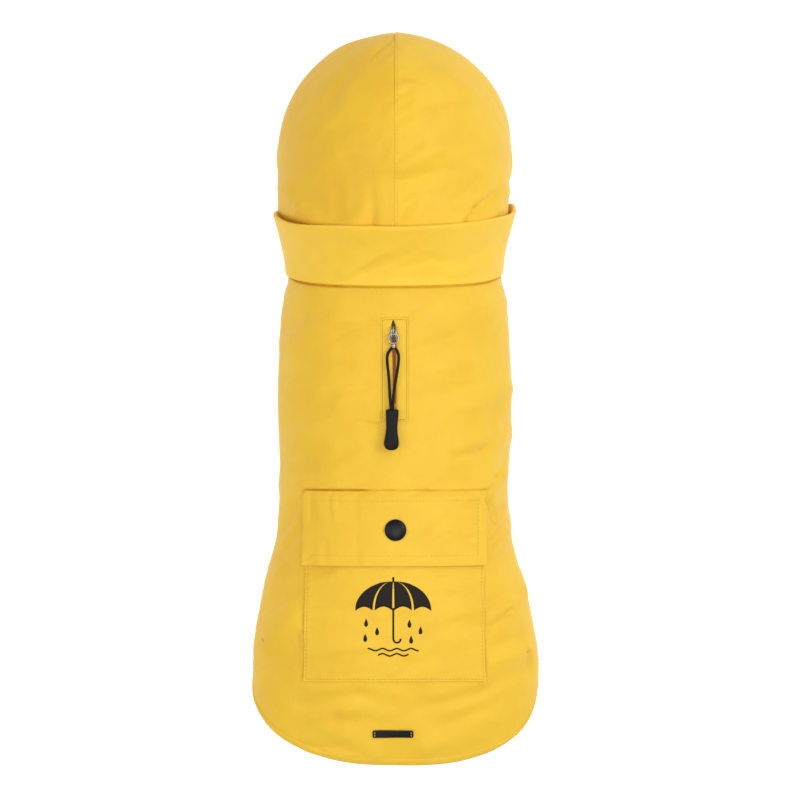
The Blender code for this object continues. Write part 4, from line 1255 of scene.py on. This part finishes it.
# Print on the pocket: a plain umbrella over drops and puddle lines

printPlace = {"x": -0.7, "y": -129.2, "lift": 0.12, "thick": 0.1}


def inkPatch(shares, steps, shape):
    # A filled patch: shape gives x and y in mm from the middle of the print
    def place(share, step):
        x, y = shape(share, step)
        return overPocket(printPlace["x"] + x, printPlace["y"] + y, printPlace["lift"])

    edit = gridSheet(shares, steps, place, lambda share, step: (share, step))
    bmesh.ops.remove_doubles(edit, verts=edit.verts[:], dist=mergeDistance)
    return edit


def gore(start, end):  # one panel of the canopy
    def shape(share, step):
        across = start + (end - start) * share
        top = 1.0 - step
        wide = 23.0 * sin(asin(max(-1, min(1, across)))) * (cos(top * pi / 2) ** 0.9)
        scallop = 2.2 * sin(pi * share) * step
        return wide, 4.0 + 17.0 * sin(top * pi / 2) - 0.5 * step * across ** 2 + scallop
    return shape


def stroke(points, width):
    def shape(share, step):
        place = step * (len(points) - 1)
        index = min(int(place), len(points) - 2)
        part = place - index
        (x1, y1), (x2, y2) = points[index], points[index + 1]
        length = hypot(x2 - x1, y2 - y1)
        off = share * width / 2
        return (x1 + (x2 - x1) * part + (y2 - y1) / length * off,
                y1 + (y2 - y1) * part - (x2 - x1) / length * off)
    return shape


def drop(x, y):
    def shape(share, step):
        turn = 2 * pi * share
        return x + 1.5 * step * sin(turn) * sin(turn / 2) ** 1.2, y + 2.4 * step * cos(turn)
    return shape


def makePrint():
    gores, gap = 4, 0.028
    patches = [inkPatch(spread(0.0, 1.0, 12), spread(1.0, 0.03, 16),
                        gore(-1 + 2 * panel / gores + gap, -1 + 2 * (panel + 1) / gores - gap))
               for panel in range(gores)]
    shaft = [(0.0, 5.4 - 18.4 * step / 8) for step in range(9)]
    hook = [(2.2 - 2.2 * cos(turn), -13.0 - 2.4 * sin(turn)) for turn in spread(0.0, pi, 9)]
    tip = [(0, 20.6), (0, 23.6)]
    waves = [[(half * at, level + 0.7 * sin(at * half * 0.75)) for at in spread(-1.0, 1.0, 33)]
             for level, half in ((-19.5, 15.0), (-22.6, 9.0))]
    for points, width, count in ((shaft, 1.1, 17), (hook, 1.1, 17), (tip, 1.2, 5), (waves[0], 0.9, 65),
                                 (waves[1], 0.9, 65)):
        patches.append(inkPatch([-1.0, 1.0], spread(0.0, 1.0, count), stroke(points, width)))
    for x, y in ((-16, -3.5), (-9.5, -8.5), (-16.5, -12.5), (9.5, -4.0), (16, -8.0), (10.5, -13.5)):
        patches.append(inkPatch(spread(0.0, 1.0, 25), spread(0.0, 1.0, 4), drop(x, y)))
    made = addObject("pocketPrint", joinEdits(patches), blackInk, "coat")
    wall = made.modifiers.new("wall", "SOLIDIFY")
    wall.thickness = printPlace["thick"] * mm
    wall.offset = -1


makePrint()
print("plate and print made")

# Sewing


def runOver(points, surface):
    return [(surface(x, y), overBackNormal(x, y)) for x, y in points]


def straight(corners, step=1.5):
    points = []
    for (x1, y1), (x2, y2) in zip(corners, corners[1:]):
        count = max(2, ceil(hypot(x2 - x1, y2 - y1) / step))
        points += [(x1 + (x2 - x1) * at / count, y1 + (y2 - y1) * at / count) for at in range(count)]
    return points + [corners[-1]]


def onBody(angle, y):
    return body(angle, y * mm), normalOf(bodyForm, angle, y * mm)


def onPanel(across, edgeY):
    angle, y = backPanelPlace(across, edgeY)
    return body(angle, y * mm, 0.0, edgeY * mm), normalOf(bodyForm, angle, y * mm)


def hemPlace(across):  # row of the panel whose distance to the hem is that of the stitching
    edgeY = cornerY + hem["stitch"]
    for _ in range(6):
        angle, _y = backPanelPlace(across, edgeY)
        edgeY = cornerY + hem["stitch"] / tailStretch(angle, edgeY)
    return edgeY


def sewPocket(settings):
    inset = pocketSize["stitch"]
    foot = pocketSize["bottom"] + inset
    reach = pocketHalf(pocketSize["bottom"]) - inset
    left = [(inset - pocketHalf(y), y) for y in spread(-96.0, foot, 50)]
    right = [(-x, y) for x, y in reversed(left)]
    below = [(x, foot) for x in spread(-reach, reach, 60)]
    makeStitches("pocketStitching", [runOver(left + below[1:-1] + right, overPocket)], settings, oliveThread)


def sewFlap(settings):
    inset = flapSize["inset"]
    foot, head = flapSize["bottom"] + inset, flapSize["top"] - inset
    right = inset - flapSize["rightShift"]
    corners = [(inset - flapHalf(head), head), (flapHalf(head) - right, head), (flapHalf(foot) - right, foot),
               (inset - flapHalf(foot), foot), (inset - flapHalf(head), head)]
    makeStitches("flapStitching", [runOver(straight(corners), overFlap)], settings, oliveThread)


def sewWindow(settings):
    out, corner = window["stitch"], 1.6
    halfX = window["halfWidth"] + out - corner
    head, foot = window["top"] + out - corner, window["bottom"] - out + corner
    points = []
    for quarter, (x, y) in enumerate(((halfX, head), (-halfX, head), (-halfX, foot), (halfX, foot))):
        points += [(x + corner * cos(turn), y + corner * sin(turn))
                   for turn in spread(quarter * pi / 2, (quarter + 1) * pi / 2, 5)]
    makeStitches("windowStitching", [runOver(straight(points + [points[0]], 1.0), overBack)], settings,
                 oliveThread)


def sewHood(settings):
    run = []
    for turn in spread(0.12, 0.99, 140):
        angle = asin(min(1.6 / between(hoodRibs, turn, 5), 1.0))
        run.append((hood(angle, turn, 1), normalOf(hoodForm, 0.0, turn)))
    makeStitches("hoodSeamStitching", [run], settings, yellowThread)
    runs = []
    for side in (-1, 1):
        run = []
        for angle in spread(0.02, hoodEnd - 0.02, 120):
            turn = 1 - hoodHem["stitch"] / (faceShare(angle) * faceLength)
            run.append((hood(angle, turn, side), normalOf(hoodForm, side * angle, turn)))
        runs.append(run)
    makeStitches("faceEdgeStitching", runs, settings, yellowThread)


def sewHem(settings):  # from one belly corner round the tail to the other
    runs = [[onPanel(across, hemPlace(across)) for across in spread(-0.94, 0.94, 260)]]
    straightEnd = sideSeam * straightShare
    for side in (-1, 1):
        run = []
        for edgeY in spread(bellyEndY - 3, cornerY + 6, 50):
            edge = skirtEdge(edgeY)
            lean = (edge - hem["stitch"] / skirtRound - straightEnd) / (edge - straightEnd)
            run.append(onPanel(side * (straightShare + (1 - straightShare) * lean), edgeY))
        runs.append(run)
    makeStitches("hemStitching", runs, settings, yellowThread)


def sewSides(settings):  # side seams and leg holes
    grow = 1 + legHole["hem"] / holeRadius
    runs = []
    for side in (-1, 1):
        for low, high in ((bellyEndY + 1, 8.0), (60.0, 70.0)):
            runs.append([(body(side * (sideSeam - 2.0 / seamRound), y * mm),
                          normalOf(bodyForm, side * sideSeam, y * mm))
                         for y in spread(low, high, max(4, int((high - low) / 2)))])
        ring = []
        for turn in spread(0.0, 2 * pi, 90):
            angle = sideSeam + legHole["halfAngle"] * grow * sin(turn)
            ring.append(onBody(angle if side > 0 else 2 * pi - angle,
                               legHole["y"] + legHole["halfLength"] * grow * cos(turn)))
        runs.append(ring)
    makeStitches("sideStitching", runs, settings, yellowThread)


def sewTacks(settings):  # small bar tacks on both hips and at the ends of the plate
    runs = []
    for x, y, lean in ((-77.6, -144.3, 0.3), (79.0, -151.0, -0.4)):
        for shift in (0.0, 0.5):
            points = [(x + lean * at + shift, y - 0.9 * at) for at in (-1.0, 0.0, 1.0)]
            runs.append(runOver(points, lambda a, b: overBack(a, b, 0.1)))
    for side in (-1, 1):
        x = plateSize["x"] + side * (plateSize["halfWidth"] - 1.3)
        points = [(x, plateSize["y"] + at) for at in (1.5, 0.0, -1.5)]
        runs.append(runOver(points, lambda a, b: overBack(a, b, plateSize["lift"] + 0.05)))
    makeStitches("barTacks", runs, settings, yellowThread)


seamStitch = {"pitch": 2.3 * mm, "share": 0.66, "gauge": 0.5 * mm, "proud": 0.2}
sewPocket(seamStitch)
sewFlap(seamStitch)
sewWindow({"pitch": 1.4 * mm, "share": 0.6, "gauge": 0.46 * mm, "proud": 0.25})
sewHood(seamStitch)
sewHem(seamStitch)
sewSides(seamStitch)
sewTacks({"pitch": 1.4 * mm, "share": 0.9, "gauge": 0.55 * mm, "proud": 0.35})
print("sewing made")

# Floor, light and camera

view = {"x": 3.3 * mm, "distance": 5.0, "width": 0.480, "level": -0.03, "floor": -0.34}

floorEdit = bmesh.new()
bmesh.ops.create_grid(floorEdit, x_segments=2, y_segments=2, size=6.0)
bmesh.ops.translate(floorEdit, vec=(0, 0, view["floor"]), verts=floorEdit.verts[:])
floorMesh = bpy.data.meshes.new("floor")
floorEdit.to_mesh(floorMesh)
floorEdit.free()
floorPaint, _, _ = newMaterial("studioFloor", {
    "Base Color": srgb("#F4F4F4"), "Roughness": 0.9,
    "Emission Color": srgb("#FFFFFF"), "Emission Strength": 0.35})
floorMesh.materials.append(floorPaint)
floor = bpy.data.objects.new("floor", floorMesh)
scene.collection.objects.link(floor)


def addLamp(name, place, size, power, colour):
    data = bpy.data.lights.new(name, "AREA")
    data.shape = "DISK"
    data.size = size
    data.energy = power
    data.color = srgb(colour)[:3]
    lamp = bpy.data.objects.new(name, data)
    lamp.location = place
    lamp.rotation_euler = (Vector((0, 0, -0.05)) - Vector(place)).to_track_quat("-Z", "Y").to_euler()
    scene.collection.objects.link(lamp)


addLamp("keyLight", (1.65, 0.45, 1.8), 1.0, 18.6, "#FBFCFF")
addLamp("crownLight", (1.4, 1.7, 1.4), 1.0, 7.3, "#FBFCFF")
addLamp("fillLight", (-1.9, -0.1, 2.0), 2.2, 18.7, "#FFF8EC")
addLamp("topLight", (0.2, -0.45, 2.9), 1.5, 26, "#FFFFFF")

world = bpy.data.worlds.new("studio")
world.use_nodes = True
sky = world.node_tree.nodes["Background"]
sky.inputs["Color"].default_value = srgb("#F8F2E6")
sky.inputs["Strength"].default_value = 0.5
scene.world = world
scene.view_settings.view_transform = "Standard"
scene.view_settings.look = "None"

cameraData = bpy.data.cameras.new("camera")
cameraData.sensor_width = 36
cameraData.lens = 36 * view["distance"] / view["width"]
cameraData.clip_end = 50
camera = bpy.data.objects.new("camera", cameraData)
camera.location = (view["x"], 0.0, view["level"] + view["distance"])
scene.collection.objects.link(camera)
scene.camera = camera
print("stage made")

bpy.context.view_layer.update()
